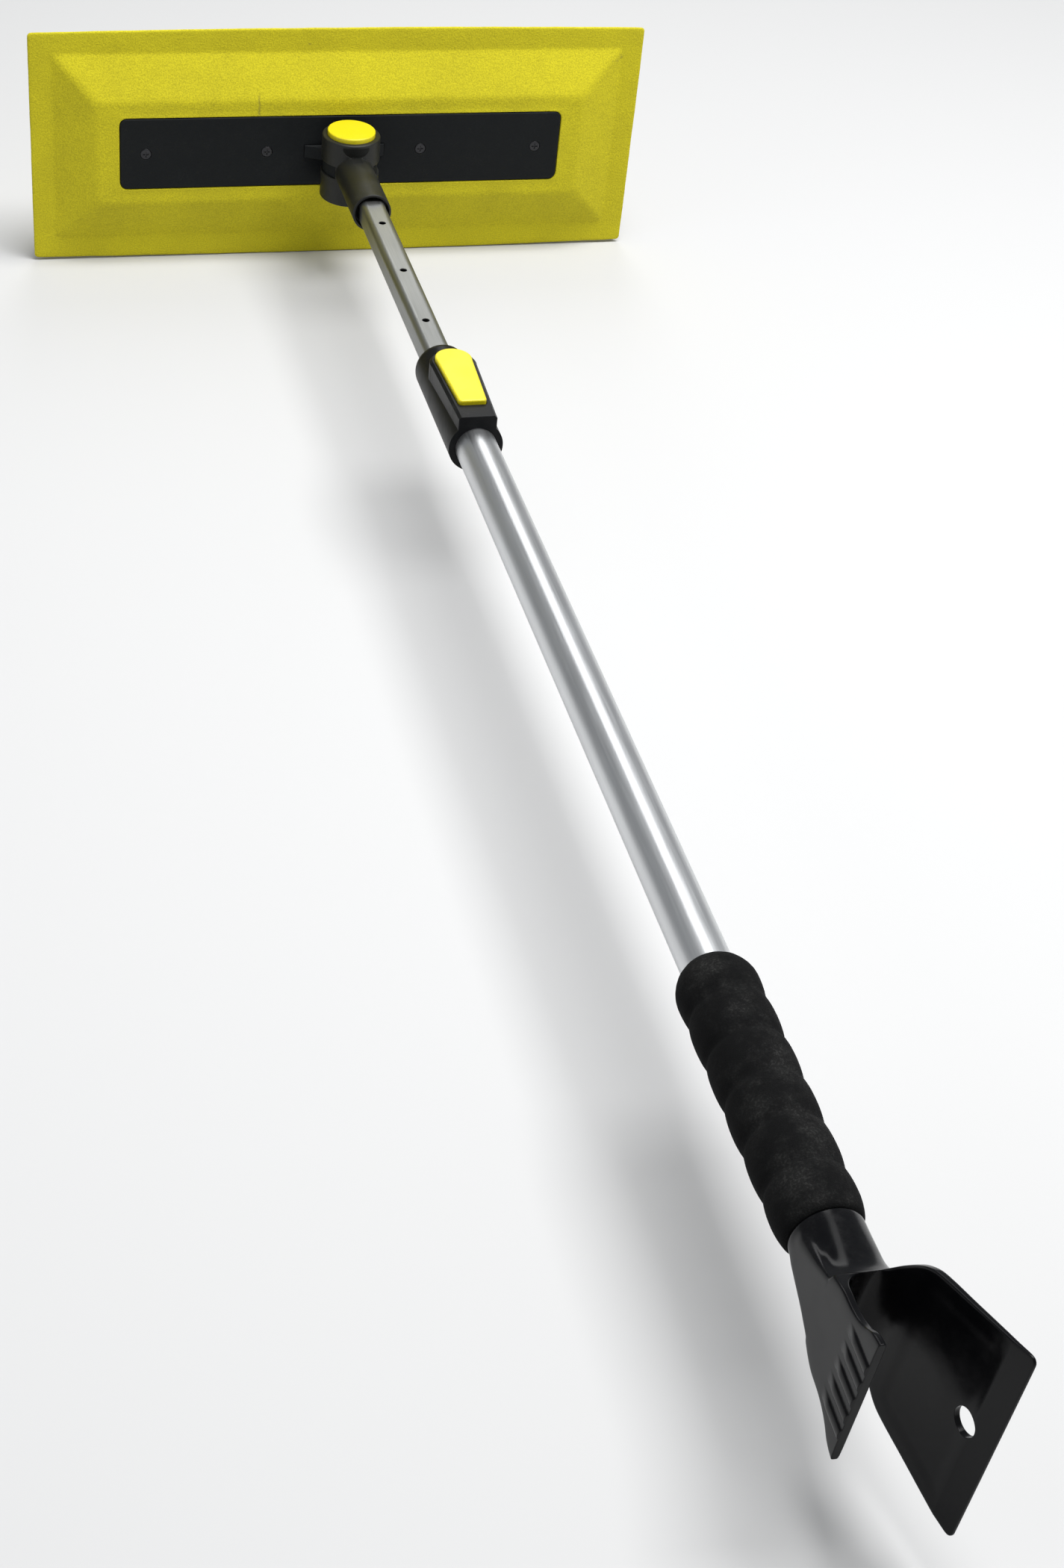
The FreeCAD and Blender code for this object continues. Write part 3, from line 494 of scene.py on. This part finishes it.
def moulded_plastic(
    name, colour, worn, roughness, specular, cells, depth, dust=0.10, wear=0.5,
):
    """Moulded plastic with a fine grain, worn edges and a little dust."""
    material, tree, shader, place = bare_finish(name, roughness, specular)
    skin = group_node(tree, pebbled_skin, Place=place, Cells=cells)
    edges = group_node(tree, edge_wear, Place=place, Width=WORN_WIDTH)
    film = group_node(tree, settled_dust, Place=place, Amount=dust)
    tone = ramp(tree, skin.outputs["Speckle"], 0.35, 0.65, 0.85, 1.12)
    tone_colour = put(tree, "ShaderNodeCombineColor", Red=tone, Green=tone, Blue=tone).outputs[0]
    surface = blend_colour(tree, 1.0, colour, tone_colour, "MULTIPLY")
    bare_share = sums(tree, "MULTIPLY", edges.outputs["Mask"], wear)
    surface = blend_colour(tree, bare_share, surface, worn)
    surface = blend_colour(tree, film.outputs["Mask"], surface, DUST_GREY)
    tree.links.new(surface, shader.inputs["Base Color"])
    dull = sums(tree, "MULTIPLY_ADD", film.outputs["Smear"], DUST_DULLS, roughness)
    tree.links.new(dull, shader.inputs["Roughness"])
    bump = put(tree, "ShaderNodeBump", Height=skin.outputs["Height"], Strength=0.4, Distance=depth)
    tree.links.new(edges.outputs["Normal"], bump.inputs["Normal"])
    tree.links.new(bump.outputs[0], shader.inputs["Normal"])
    return material


def dress(node_name, material):
    """Gives a node of the frame its finish."""
    mesh = nodes[node_name].data
    mesh.materials.clear()
    mesh.materials.append(material)


plate_plastic = moulded_plastic(
    "plate_black", colour=(0.0062, 0.0075, 0.0082), worn=(0.03, 0.03, 0.03),
    roughness=0.62, specular=0.14, cells=1500.0, depth=0.00012,
)
core_plastic = moulded_plastic(
    "core_grey", colour=(0.55, 0.55, 0.52), worn=(0.7, 0.7, 0.68),
    roughness=0.6, specular=0.3, cells=900.0, depth=0.00010,
)
dress("backing_plate", plate_plastic)
dress("hub_bracket", plate_plastic)
dress("core_board", core_plastic)

# ------------------------------------------------------------------ screws
# Small pan head screws with a cross recess. The four in the plate are blackened. The
# screws in the neck, gear, latch housing and scraper are zinc plated, as the latch's
# axle and pin are, and the two springs are bare wire.
TURNING_MARKS = 2600.0


def screw_steel(name, colour, roughness):
    """Plated steel with fine turning marks."""
    material, tree, shader, place = bare_finish(name, roughness, 0.5, 1.0)
    film = group_node(tree, settled_dust, Place=place, Amount=0.5)
    surface = blend_colour(tree, film.outputs["Mask"], colour, DUST_GREY)
    tree.links.new(surface, shader.inputs["Base Color"])
    marks = put(tree, "ShaderNodeTexNoise", Vector=place, Scale=TURNING_MARKS, Detail=2.0)
    gloss = ramp(tree, marks.outputs[0], 0.3, 0.7, roughness - 0.08, roughness + 0.12)
    tree.links.new(gloss, shader.inputs["Roughness"])
    bump = put(tree, "ShaderNodeBump", Height=marks.outputs[0], Strength=0.25, Distance=0.00005)
    tree.links.new(bump.outputs[0], shader.inputs["Normal"])
    return material


blackened_steel = screw_steel("blackened_steel", (0.045, 0.045, 0.048), roughness=0.42)
zinc_steel = screw_steel("zinc_steel", (0.62, 0.62, 0.60), roughness=0.32)
spring_wire = screw_steel("spring_wire", (0.48, 0.48, 0.49), roughness=0.28)
for number in range(1, 5):
    dress(f"plate_screw_{number}", blackened_steel)
for node_name in ("neck_screw", "gear_screw", "housing_screw", "scraper_screw"):
    dress(node_name, zinc_steel)
for node_name in ("latch_axle", "lock_pin"):
    dress(node_name, zinc_steel)
for node_name in ("hub_spring", "latch_spring"):
    dress(node_name, spring_wire)

# ---------------------------------------------------------- neck and pivot
# The neck is one dark satin moulding: a round socket for the inner tube and the two
# collars that straddle the bracket's lug. A splined gear locks them until the button
# over it is pressed against a spring. The floor disc closes the collar from below.
hub_plastic = moulded_plastic(
    "hub_black", colour=(0.010, 0.0104, 0.0088), worn=(0.05, 0.05, 0.046),
    roughness=0.46, specular=0.30, cells=1300.0, depth=0.00010,
)
gear_plastic = moulded_plastic(
    "gear_acetal", colour=(0.70, 0.70, 0.66), worn=(0.8, 0.8, 0.78),
    roughness=0.4, specular=0.5, cells=900.0, depth=0.00004,
)
dress("neck_fork", hub_plastic)
dress("hub_floor", hub_plastic)
dress("lock_gear", gear_plastic)

BUTTON_YELLOW = (0.62, 0.53, 0.006)
button_plastic = moulded_plastic(
    "button_yellow", BUTTON_YELLOW, worn=(0.95, 0.88, 0.10),
    roughness=0.36, specular=0.45, cells=1100.0, depth=0.00004, dust=0.05, wear=0.3,
)
dress("hub_button", button_plastic)

# ------------------------------------------------------------------- tubes
# The inner tube is a rounded square aluminium drawing with its die lines left on and
# seven lock holes. The outer tube is round, satin anodised, with a bush at its mouth.
DIE_LINES = 2200.0
# how far the lines and the haze are drawn out along the tube
LINE_STRETCH = (1.0, 0.012, 1.0)
HAZE_STRETCH = (1.0, 0.15, 1.0)
drawn_lines, lines_in, lines_out = shader_group(
    "drawn_lines",
    (("Place", "NodeSocketVector", None), ("Lines", "NodeSocketFloat", DIE_LINES)),
    (("Value", "NodeSocketFloat"), ("Haze", "NodeSocketFloat")),
)
tube_place = lines_in.outputs["Place"]
long_place = put(drawn_lines, "ShaderNodeMapping", Vector=tube_place, Scale=LINE_STRETCH)
line_noise = put(
    drawn_lines, "ShaderNodeTexNoise",
    Vector=long_place.outputs[0], Scale=lines_in.outputs["Lines"], Detail=3.0,
)
haze_place = put(drawn_lines, "ShaderNodeMapping", Vector=tube_place, Scale=HAZE_STRETCH)
haze_noise = put(
    drawn_lines, "ShaderNodeTexNoise", Vector=haze_place.outputs[0], Scale=90.0, Detail=3.0,
)
drawn_lines.links.new(line_noise.outputs[0], lines_out.inputs["Value"])
drawn_lines.links.new(haze_noise.outputs[0], lines_out.inputs["Haze"])


def aluminium(name, colour, shade, roughness, spread, depth):
    """Drawn aluminium: lengthwise lines in its gloss, with a faint haze."""
    material, tree, shader, place = bare_finish(name, roughness, 0.5, 1.0)
    lines = group_node(tree, drawn_lines, Place=place, Lines=DIE_LINES)
    tone = ramp(tree, lines.outputs["Haze"], 0.35, 0.65)
    surface = blend_colour(tree, tone, colour, shade)
    tree.links.new(surface, shader.inputs["Base Color"])
    gloss = ramp(tree, lines.outputs["Value"], 0.3, 0.7, roughness - spread, roughness + spread)
    tree.links.new(gloss, shader.inputs["Roughness"])
    bump = put(tree, "ShaderNodeBump", Height=lines.outputs["Value"], Strength=0.3, Distance=depth)
    tree.links.new(bump.outputs[0], shader.inputs["Normal"])
    return material


mill_aluminium = aluminium(
    "mill_aluminium", colour=(0.27, 0.275, 0.27), shade=(0.24, 0.245, 0.24),
    roughness=0.42, spread=0.06, depth=0.00004,
)
satin_aluminium = aluminium(
    "satin_aluminium", colour=(0.66, 0.675, 0.685), shade=(0.63, 0.64, 0.65),
    roughness=0.36, spread=0.04, depth=0.00002,
)
glide_plastic = moulded_plastic(
    "glide_black", colour=(0.03, 0.03, 0.03), worn=(0.08, 0.08, 0.08),
    roughness=0.4, specular=0.4, cells=900.0, depth=0.00004,
)
dress("inner_tube", mill_aluminium)
dress("outer_tube", satin_aluminium)
dress("tail_glide", glide_plastic)
dress("guide_bush", glide_plastic)

# ------------------------------------------------------------------- latch
# The housing is a satin black sleeve with a raised pad on top; the yellow key in the
# pad turns on a steel axle and lifts the lock pin out of the inner tube.
housing_plastic = moulded_plastic(
    "housing_black", colour=(0.004, 0.0043, 0.0050), worn=(0.03, 0.03, 0.033),
    roughness=0.36, specular=0.12, cells=1500.0, depth=0.00006,
)
dress("latch_housing", housing_plastic)
dress("latch_button", button_plastic)

# -------------------------------------------------------------------- grip
# Six soft lobes of black foam, turned from one sleeve and pulled over the pole. The
# foam is dead matt, with a fine open grain.
grip_low, grip_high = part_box("foam_grip")
tube_low, tube_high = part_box("outer_tube")
GRIP_LOBES = 6
GRIP_VALLEY = 0.0187
GRIP_FRONT = 0.0150
GRIP_REAR = 0.0176
GRIP_TURNS = 72
GRIP_GAP = 0.0001
GRIP_MOUTH_ROUND = 0.001
GRIP_SWELL = 0.0004
GRIP_WAVE_RATE = 60.0
GRIP_WAVE_HEIGHT = 0.0002
LOBE_STEPS = 10
SEAM_DISTANCE = 0.00001

pole_z = (tube_low.z + tube_high.z) / 2
pole_radius = tube_high.x
grip_peak = grip_high.x + GRIP_SWELL
lobe_length = (grip_high.y - grip_low.y) / GRIP_LOBES
grip_bore = pole_radius + GRIP_GAP
grip_outline = [(grip_bore, grip_high.y), (GRIP_FRONT - GRIP_MOUTH_ROUND, grip_high.y)]
for lobe in range(GRIP_LOBES):
    for step in range(LOBE_STEPS + (lobe == GRIP_LOBES - 1)):
        share = step / LOBE_STEPS
        base = GRIP_VALLEY
        if lobe == 0 and share < 0.5:
            base = between(GRIP_FRONT, GRIP_VALLEY, math.sin(math.pi * share))
        if lobe == GRIP_LOBES - 1 and share > 0.5:
            base = between(GRIP_REAR, GRIP_VALLEY, math.sin(math.pi * share))
        swell = (grip_peak - GRIP_VALLEY) * math.sqrt(max(0.0, 1 - (2 * share - 1) ** 2))
        grip_outline.append((base + swell, grip_high.y - (lobe + share) * lobe_length))
grip_outline.append((grip_bore, grip_low.y))
grip_bm = bmesh.new()
grip_verts = [grip_bm.verts.new((0.0, y, pole_z + radius)) for radius, y in grip_outline]
for first, second in zip(grip_verts, grip_verts[1:] + grip_verts[:1]):
    grip_bm.edges.new((first, second))
bmesh.ops.spin(
    grip_bm, geom=grip_bm.verts[:] + grip_bm.edges[:], cent=(0, 0, pole_z), axis=(0, 1, 0),
    angle=math.tau, steps=GRIP_TURNS, use_merge=True, use_duplicate=False,
)
bmesh.ops.remove_doubles(grip_bm, verts=grip_bm.verts, dist=SEAM_DISTANCE)
bmesh.ops.recalc_face_normals(grip_bm, faces=grip_bm.faces)
for vert in grip_bm.verts:
    wave = noise.noise(vert.co * GRIP_WAVE_RATE) * GRIP_WAVE_HEIGHT
    vert.co += vert.normal * (wave - GRIP_WAVE_HEIGHT)
grip_sleeve = piece_from("grip_sleeve", grip_bm)

GRIP_BLACK = (0.0018, 0.0019, 0.0020)
GRIP_PALE = (0.0036, 0.0037, 0.0039)
grip_foam, tree, shader, place = bare_finish("grip_foam", 0.90, 0.10)
skin = group_node(tree, pebbled_skin, Place=place, Cells=1400.0)
film = group_node(tree, settled_dust, Place=place, Amount=0.10)
grip_speckle = ramp(tree, skin.outputs["Speckle"], 0.35, 0.65)
grip_tone = blend_colour(tree, grip_speckle, GRIP_BLACK, GRIP_PALE)
grip_surface = blend_colour(tree, film.outputs["Mask"], grip_tone, DUST_GREY)
tree.links.new(grip_surface, shader.inputs["Base Color"])
grip_bump = put(
    tree, "ShaderNodeBump", Height=skin.outputs["Height"], Strength=0.6, Distance=0.0002,
)
tree.links.new(grip_bump.outputs[0], shader.inputs["Normal"])
grip_sleeve.data.materials.append(grip_foam)
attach(grip_sleeve, "handle")
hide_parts("foam_grip")

# ----------------------------------------------------------------- scraper
# One tough black moulding pushed on the pole: a flared socket that forks into a short
# ribbed ice chipper and a long flat blade with a dished face and a hanging hole.
# It is drawn square to itself, in millimetres from the head along the pole, then rolled.
SCRAPER_ROLL = math.radians(5.9)
HEAD_TO_CENTRE = 591.5
ROOT = 1115.0
ROOT_REACH = 12.5
ROOT_X = -1.5
CHIPPER_END = 1163.0
BLADE_BEVEL = 1181.0
BLADE_END = 1192.0
SHORT_PARTS = 5
LONG_PARTS = 36
SOCKET_RADIUS = 17.5
SOCKET_BORE = 13.2
BORE_DEPTH = 1096.4
BORE_CHAMFER = 0.3
MOUTH_CHAMFER = 0.5
MOUTH_ROUND = 0.6
ROOT_CORNER = 3.0
WING_SOFT = 0.6
ROUND_OVAL = 2.0
PLATE_OVAL = 9.0
ARC_SAMPLES = 160
CHIPPER_IN = -16.0
CHIPPER_OUT = -20.0
# distance along the pole, then a size there, in millimetres
LEFT_FACE = ((1076.4, -17.5), (1084, -17.5), (CHIPPER_END, CHIPPER_OUT))
RIGHT_FACE = ((1076.4, 17.5), (1086, 17.5), (1130, 16.2), (BLADE_END, 30.0))
CHIPPER_HALF = (
    (1076.4, 0.0), (1080, 0.0), (1084, 9.0), (1092, 12.5), (1098, 14.8), (1104, 17.2),
    (1110, 19.4), (1116, 21.8), (1122, 24.0), (1128, 25.8), (1136, 26.0), (1142, 27.2),
    (1150, 30.0), (1153, 33.2), (1157, 35.0), (CHIPPER_END, 36.0),
)
BLADE_HALF = (
    (1076.4, 17.5), (1104, 17.5), (1110, 19), (1115, 22.5), (1118.5, 28), (1122.5, 33),
    (1128, 39), (1134, 43.5), (1142, 45.8), (1154, 48.3), (1170, 52), (1189, 56.2),
    (1190.6, 55.9), (1191.6, 54.8), (BLADE_END, 53.4),
)
SOCKET_HALF = ((1076.4, 17.5), (1106, 17.5), (1115, 20.0))
FULLNESS = (
    (1076.4, 2.0), (1086, 2.0), (1104, 2.3), (1115, 3.5), (1122, 7.0), (1128, 12.0),
    (BLADE_END, 14.0),
)
SLOT_LEFT = ((ROOT + ROOT_REACH, -14.2), (CHIPPER_END, CHIPPER_IN))
SLOT_RIGHT = ((ROOT + ROOT_REACH, 11.3), (BLADE_BEVEL, 24.4), (BLADE_END, 28.6))
# where rings are drawn, closer together where the shape turns
BODY_STATIONS = (1080, 1084, 1088, 1092, 1097, 1102, 1106, 1110, 1113, ROOT)
FORK_STATIONS = (1115.2, 1116, 1117.5, 1120, 1123.5, ROOT + ROOT_REACH)
CHIPPER_STATIONS = (1132, 1137, 1142, 1147, 1151, 1155, 1159, 1162.6, CHIPPER_END)
BLADE_STATIONS = (
    1131, 1135, 1140, 1145, 1150, 1155, 1160, 1165, 1170, 1175, 1178.5, 1180.6,
    BLADE_BEVEL, 1181.4, 1185, 1189, 1190.6, 1191.6, BLADE_END,
)
# the last rings that close the ends: half heights, and how far the corners draw in
CHIPPER_CLOSING = (34.8, 34.0)
CHIPPER_EDGE_ROUND = 0.4
BLADE_EDGE_ROUND = 0.3


def read_off(table, at):
    """A size read off a table of distances, straight between its entries."""
    for (near, size), (far, further) in zip(table, table[1:]):
        if at <= far:
            return between(size, further, max(0.0, (at - near) / (far - near)))
    return table[-1][1]


def soft_step(value):
    """Nought to one, easing in and out."""
    value = min(1.0, max(0.0, value))
    return value * value * (3 - 2 * value)


def half_ring(left, right, half_left, half_right, fullness, side, wing=0.0):
    """Points (x, z) down one side of a full oval, top to bottom, with a flat wing on the left."""
    middle, reach = (left + right) / 2, (right - left) / 2

    def at(turn):
        u = side * abs(math.sin(turn)) ** (2 / fullness)
        v = math.copysign(abs(math.cos(turn)) ** (2 / fullness), math.cos(turn))
        x, z = middle + reach * u, v * between(half_left, half_right, (u + 1) / 2)
        if wing > 0.0 and x < 0.0:
            steep = abs(z / x)
            grown = soft_step((wing / -left - steep) / WING_SOFT + 0.5) * max(0.0, left / x - 1)
            x, z = x * (1 + grown), z * (1 + grown)
        return x, z

    points = []
    spans = ((0.0, 0.25, SHORT_PARTS), (0.25, 0.75, LONG_PARTS), (0.75, 1.0, SHORT_PARTS))
    for first, last, parts in spans:
        shares = [k / ARC_SAMPLES for k in range(ARC_SAMPLES + 1)]
        fine = [at(math.pi * between(first, last, share)) for share in shares]
        walked = [0.0]
        for (x0, z0), (x1, z1) in zip(fine, fine[1:]):
            walked.append(walked[-1] + math.hypot(x1 - x0, z1 - z0))
        k = 0
        for part in range(parts):
            wanted = walked[-1] * part / parts
            while walked[k + 1] < wanted:
                k += 1
            share = (wanted - walked[k]) / (walked[k + 1] - walked[k] or 1.0)
            points.append(tuple(between(a, b, share) for a, b in zip(fine[k], fine[k + 1])))
    return points + [at(math.pi)]


def in_place(x, along, z):
    """A point of the scraper as drawn, rolled about the pole and put at its height, in metres."""
    c, s = math.cos(SCRAPER_ROLL), math.sin(SCRAPER_ROLL)
    rolled = Vector((c * x + s * z, HEAD_TO_CENTRE - along, c * z - s * x))
    return rolled / 1000 + Vector((0, 0, pole_z))


def as_drawn(point):
    """The reverse of in_place: (x, distance along the pole, z) in millimetres."""
    c, s = math.cos(SCRAPER_ROLL), math.sin(SCRAPER_ROLL)
    x, y, z = (point - Vector((0, 0, pole_z))) * 1000
    return c * x - s * z, HEAD_TO_CENTRE - y, s * x + c * z


def whole_ring(along, near, far):
    """Both sides of an oval joined into one ring, which starts at the top."""
    return [in_place(x, along, z) for x, z in near[:-1] + far[:0:-1]]


def plate_ring(along, left, right, half, fullness=PLATE_OVAL):
    """A ring round one blade, as high on both of its faces."""
    near = half_ring(left, right, half, half, fullness, -1)
    far = half_ring(left, right, half, half, fullness, 1)
    return whole_ring(along, near, far)


def body_ring(along):
    """A ring round the socket where it flares out into the two blades."""
    sizes = (
        read_off(LEFT_FACE, along), read_off(RIGHT_FACE, along),
        read_off(SOCKET_HALF, along), read_off(BLADE_HALF, along), read_off(FULLNESS, along),
    )
    near = half_ring(*sizes, -1, read_off(CHIPPER_HALF, along))
    return whole_ring(along, near, half_ring(*sizes, 1))


def bore_ring(along, radius):
    """A round ring, for the bore and the mouth of the socket."""
    return plate_ring(along, -radius, radius, radius, ROUND_OVAL)


socket_mouth = RIGHT_FACE[0][0]
half_count = 2 * SHORT_PARTS + LONG_PARTS
scraper_bm = bmesh.new()
bmesh.ops.create_circle(scraper_bm, segments=2 * half_count, radius=1.0)
scraper_bm.verts.ensure_lookup_table()
ring = list(scraper_bm.verts)
for vert in ring:
    vert.co = in_place(0.0, BORE_DEPTH, 0.0)
bore_rings = (
    (BORE_DEPTH, SOCKET_BORE * 0.5),
    (BORE_DEPTH, SOCKET_BORE - BORE_CHAMFER),
    (BORE_DEPTH - BORE_CHAMFER, SOCKET_BORE),
    (socket_mouth + MOUTH_ROUND, SOCKET_BORE),
    (socket_mouth, SOCKET_BORE + MOUTH_CHAMFER),
    (socket_mouth, SOCKET_RADIUS - MOUTH_ROUND),
    (socket_mouth + MOUTH_ROUND, SOCKET_RADIUS),
)
for along, radius in bore_rings:
    ring = grow_ring(scraper_bm, ring, bore_ring(along, radius))
for along in BODY_STATIONS:
    ring = grow_ring(scraper_bm, ring, body_ring(along))

# the slot's root: a line of points from the bottom to the top, shared by both blades
root_half = read_off(SOCKET_HALF, ROOT) * 0.5 + read_off(BLADE_HALF, ROOT) * 0.5
bottom, top = ring[half_count], ring[0]
inner = []
for k in range(1, half_count):
    if k < SHORT_PARTS:
        z = -root_half + ROOT_CORNER * k / SHORT_PARTS
    elif k > half_count - SHORT_PARTS:
        z = root_half - ROOT_CORNER * (half_count - k) / SHORT_PARTS
    else:
        share = (k - SHORT_PARTS) / LONG_PARTS
        z = between(ROOT_CORNER - root_half, root_half - ROOT_CORNER, share)
    inner.append(scraper_bm.verts.new(in_place(ROOT_X, ROOT, z)))
chain = [bottom, *inner, top]
for first, second in zip(chain, chain[1:]):
    scraper_bm.edges.new((first, second))
chipper_ring = ring[: half_count + 1] + inner
blade_ring = ring[half_count:] + [top] + inner[::-1]


def slot_side(along, table):
    """Inner face of a blade: an arc from the slot's root, then straight."""
    face = read_off(table, max(along, ROOT + ROOT_REACH))
    step = min(1.0, (along - ROOT) / ROOT_REACH)
    return between(ROOT_X, face, math.sqrt(1 - (1 - step) ** 2))


for along in FORK_STATIONS + CHIPPER_STATIONS:
    outer, inside = read_off(LEFT_FACE, along), slot_side(along, SLOT_LEFT)
    places = plate_ring(along, outer, inside, read_off(CHIPPER_HALF, along))
    chipper_ring = grow_ring(scraper_bm, chipper_ring, places)
outer, inside = CHIPPER_OUT + CHIPPER_EDGE_ROUND, CHIPPER_IN - CHIPPER_EDGE_ROUND
places = plate_ring(CHIPPER_END, outer, inside, CHIPPER_CLOSING[0])
chipper_ring = grow_ring(scraper_bm, chipper_ring, places)
chipper_middle = (CHIPPER_OUT + CHIPPER_IN) / 2
places = plate_ring(CHIPPER_END, chipper_middle, chipper_middle, CHIPPER_CLOSING[1])
grow_ring(scraper_bm, chipper_ring, places)

# the blade's ring starts at the bottom, so the two halves of its places change over
for along in FORK_STATIONS + BLADE_STATIONS:
    inside, outer = slot_side(along, SLOT_RIGHT), read_off(RIGHT_FACE, along)
    half, fullness = read_off(BLADE_HALF, along), read_off(FULLNESS, along)
    places = plate_ring(along, inside, outer, half, fullness)
    blade_ring = grow_ring(scraper_bm, blade_ring, places[half_count:] + places[:half_count])
tip_middle = (SLOT_RIGHT[-1][1] + RIGHT_FACE[-1][1]) / 2
places = plate_ring(BLADE_END, tip_middle, tip_middle, BLADE_HALF[-1][1] - BLADE_EDGE_ROUND)
grow_ring(scraper_bm, blade_ring, places[half_count:] + places[:half_count])
bmesh.ops.remove_doubles(scraper_bm, verts=scraper_bm.verts, dist=SEAM_DISTANCE)
bmesh.ops.recalc_face_normals(scraper_bm, faces=scraper_bm.faces)
scraper_bm = rounded_off("rough_scraper", scraper_bm)

# ribs across the chipper, and the dished face of the long blade
RIB_PITCH = 10.0
RIB_COUNT = 5
RIB_HALF = 3.0
RIB_RISE = 1.2
RIB_START = 1140.0
RIB_SOFT = 9.0
DISH_DEPTH = 0.4
DISH_START = 1133.0
DISH_START_SOFT = 6.0
DISH_END = BLADE_BEVEL - 0.5
DISH_SOFT = 7.0
DISH_MARGIN = 6.0
# faces that look left: the chipper's lie beyond one x, the blade's beyond another
LOOKS_LEFT = 0.6
CHIPPER_FACE_X = -12.0
BLADE_FACE_X = 8.0

out_left = in_place(-1, 0, 0) - in_place(0, 0, 0)
out_left.normalize()
rib_crests = [RIB_PITCH * (k - (RIB_COUNT - 1) / 2) for k in range(RIB_COUNT)]
scraper_bm.normal_update()
moves = []
for vert in scraper_bm.verts:
    x, along, z = as_drawn(vert.co)
    if along < ROOT:
        continue
    looks_left = vert.normal.dot(out_left) > LOOKS_LEFT
    if looks_left and x < CHIPPER_FACE_X:
        across = min(abs(z - crest) for crest in rib_crests) / RIB_HALF
        if across < 1.0:
            rise = RIB_RISE * math.sqrt(1 - across * across)
            rise *= soft_step((along - RIB_START) / RIB_SOFT)
            moves.append((vert, out_left * rise / 1000))
    elif looks_left and x > BLADE_FACE_X:
        inside = read_off(BLADE_HALF, along) - DISH_MARGIN - abs(z)
        depth = soft_step(inside / DISH_SOFT) * soft_step((along - DISH_START) / DISH_START_SOFT)
        depth *= soft_step((DISH_END - along) / DISH_SOFT)
        moves.append((vert, out_left * -DISH_DEPTH * depth / 1000))
for vert, move in moves:
    vert.co += move
scraper_shell = piece_from("scraper_shell", scraper_bm)

# the hanging hole is bored square to the long blade
HOLE_PLACE = 1176.0
HOLE_RADIUS = 0.0065
HOLE_SIDES = 72
DRILL_LENGTH = 0.03
BLADE_HALF_THICKNESS = 1.5
SHARP_EDGE = math.radians(50)
(lean_start, lean_from), (lean_stop, lean_to) = SLOT_RIGHT[:2]
blade_lean = math.atan((lean_to - lean_from) / (lean_stop - lean_start))
hole_axis = in_place(math.cos(blade_lean), -math.sin(blade_lean), 0) - in_place(0, 0, 0)
drill_bm = bmesh.new()
bmesh.ops.create_cone(
    drill_bm, cap_ends=True, segments=HOLE_SIDES,
    radius1=HOLE_RADIUS, radius2=HOLE_RADIUS, depth=DRILL_LENGTH,
)
turn = hole_axis.to_track_quat("Z", "Y").to_matrix().to_4x4()
bmesh.ops.transform(drill_bm, matrix=turn, verts=drill_bm.verts)
hole_centre = in_place(read_off(SLOT_RIGHT, HOLE_PLACE) + BLADE_HALF_THICKNESS, HOLE_PLACE, 0)
bmesh.ops.translate(drill_bm, vec=hole_centre, verts=drill_bm.verts)
drill = piece_from("drill", drill_bm)
boring = scraper_shell.modifiers.new("boring", "BOOLEAN")
boring.object = drill
boring.operation = "DIFFERENCE"
boring.solver = "EXACT"
bored = bmesh.new()
bored.from_object(scraper_shell, bpy.context.evaluated_depsgraph_get())
bpy.data.objects.remove(scraper_shell)
bpy.data.objects.remove(drill)
for edge in bored.edges:
    if len(edge.link_faces) == 2 and edge.calc_face_angle() > SHARP_EDGE:
        edge.smooth = False
scraper_shell = piece_from("scraper_shell", bored)
scraper_plastic = moulded_plastic(
    "scraper_black", colour=(0.0024, 0.0025, 0.0031), worn=(0.016, 0.016, 0.019),
    roughness=0.17, specular=0.14, cells=1600.0, depth=0.00001, dust=0.02,
)
scraper_shell.data.materials.append(scraper_plastic)
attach(scraper_shell, "handle")
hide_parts("scraper")
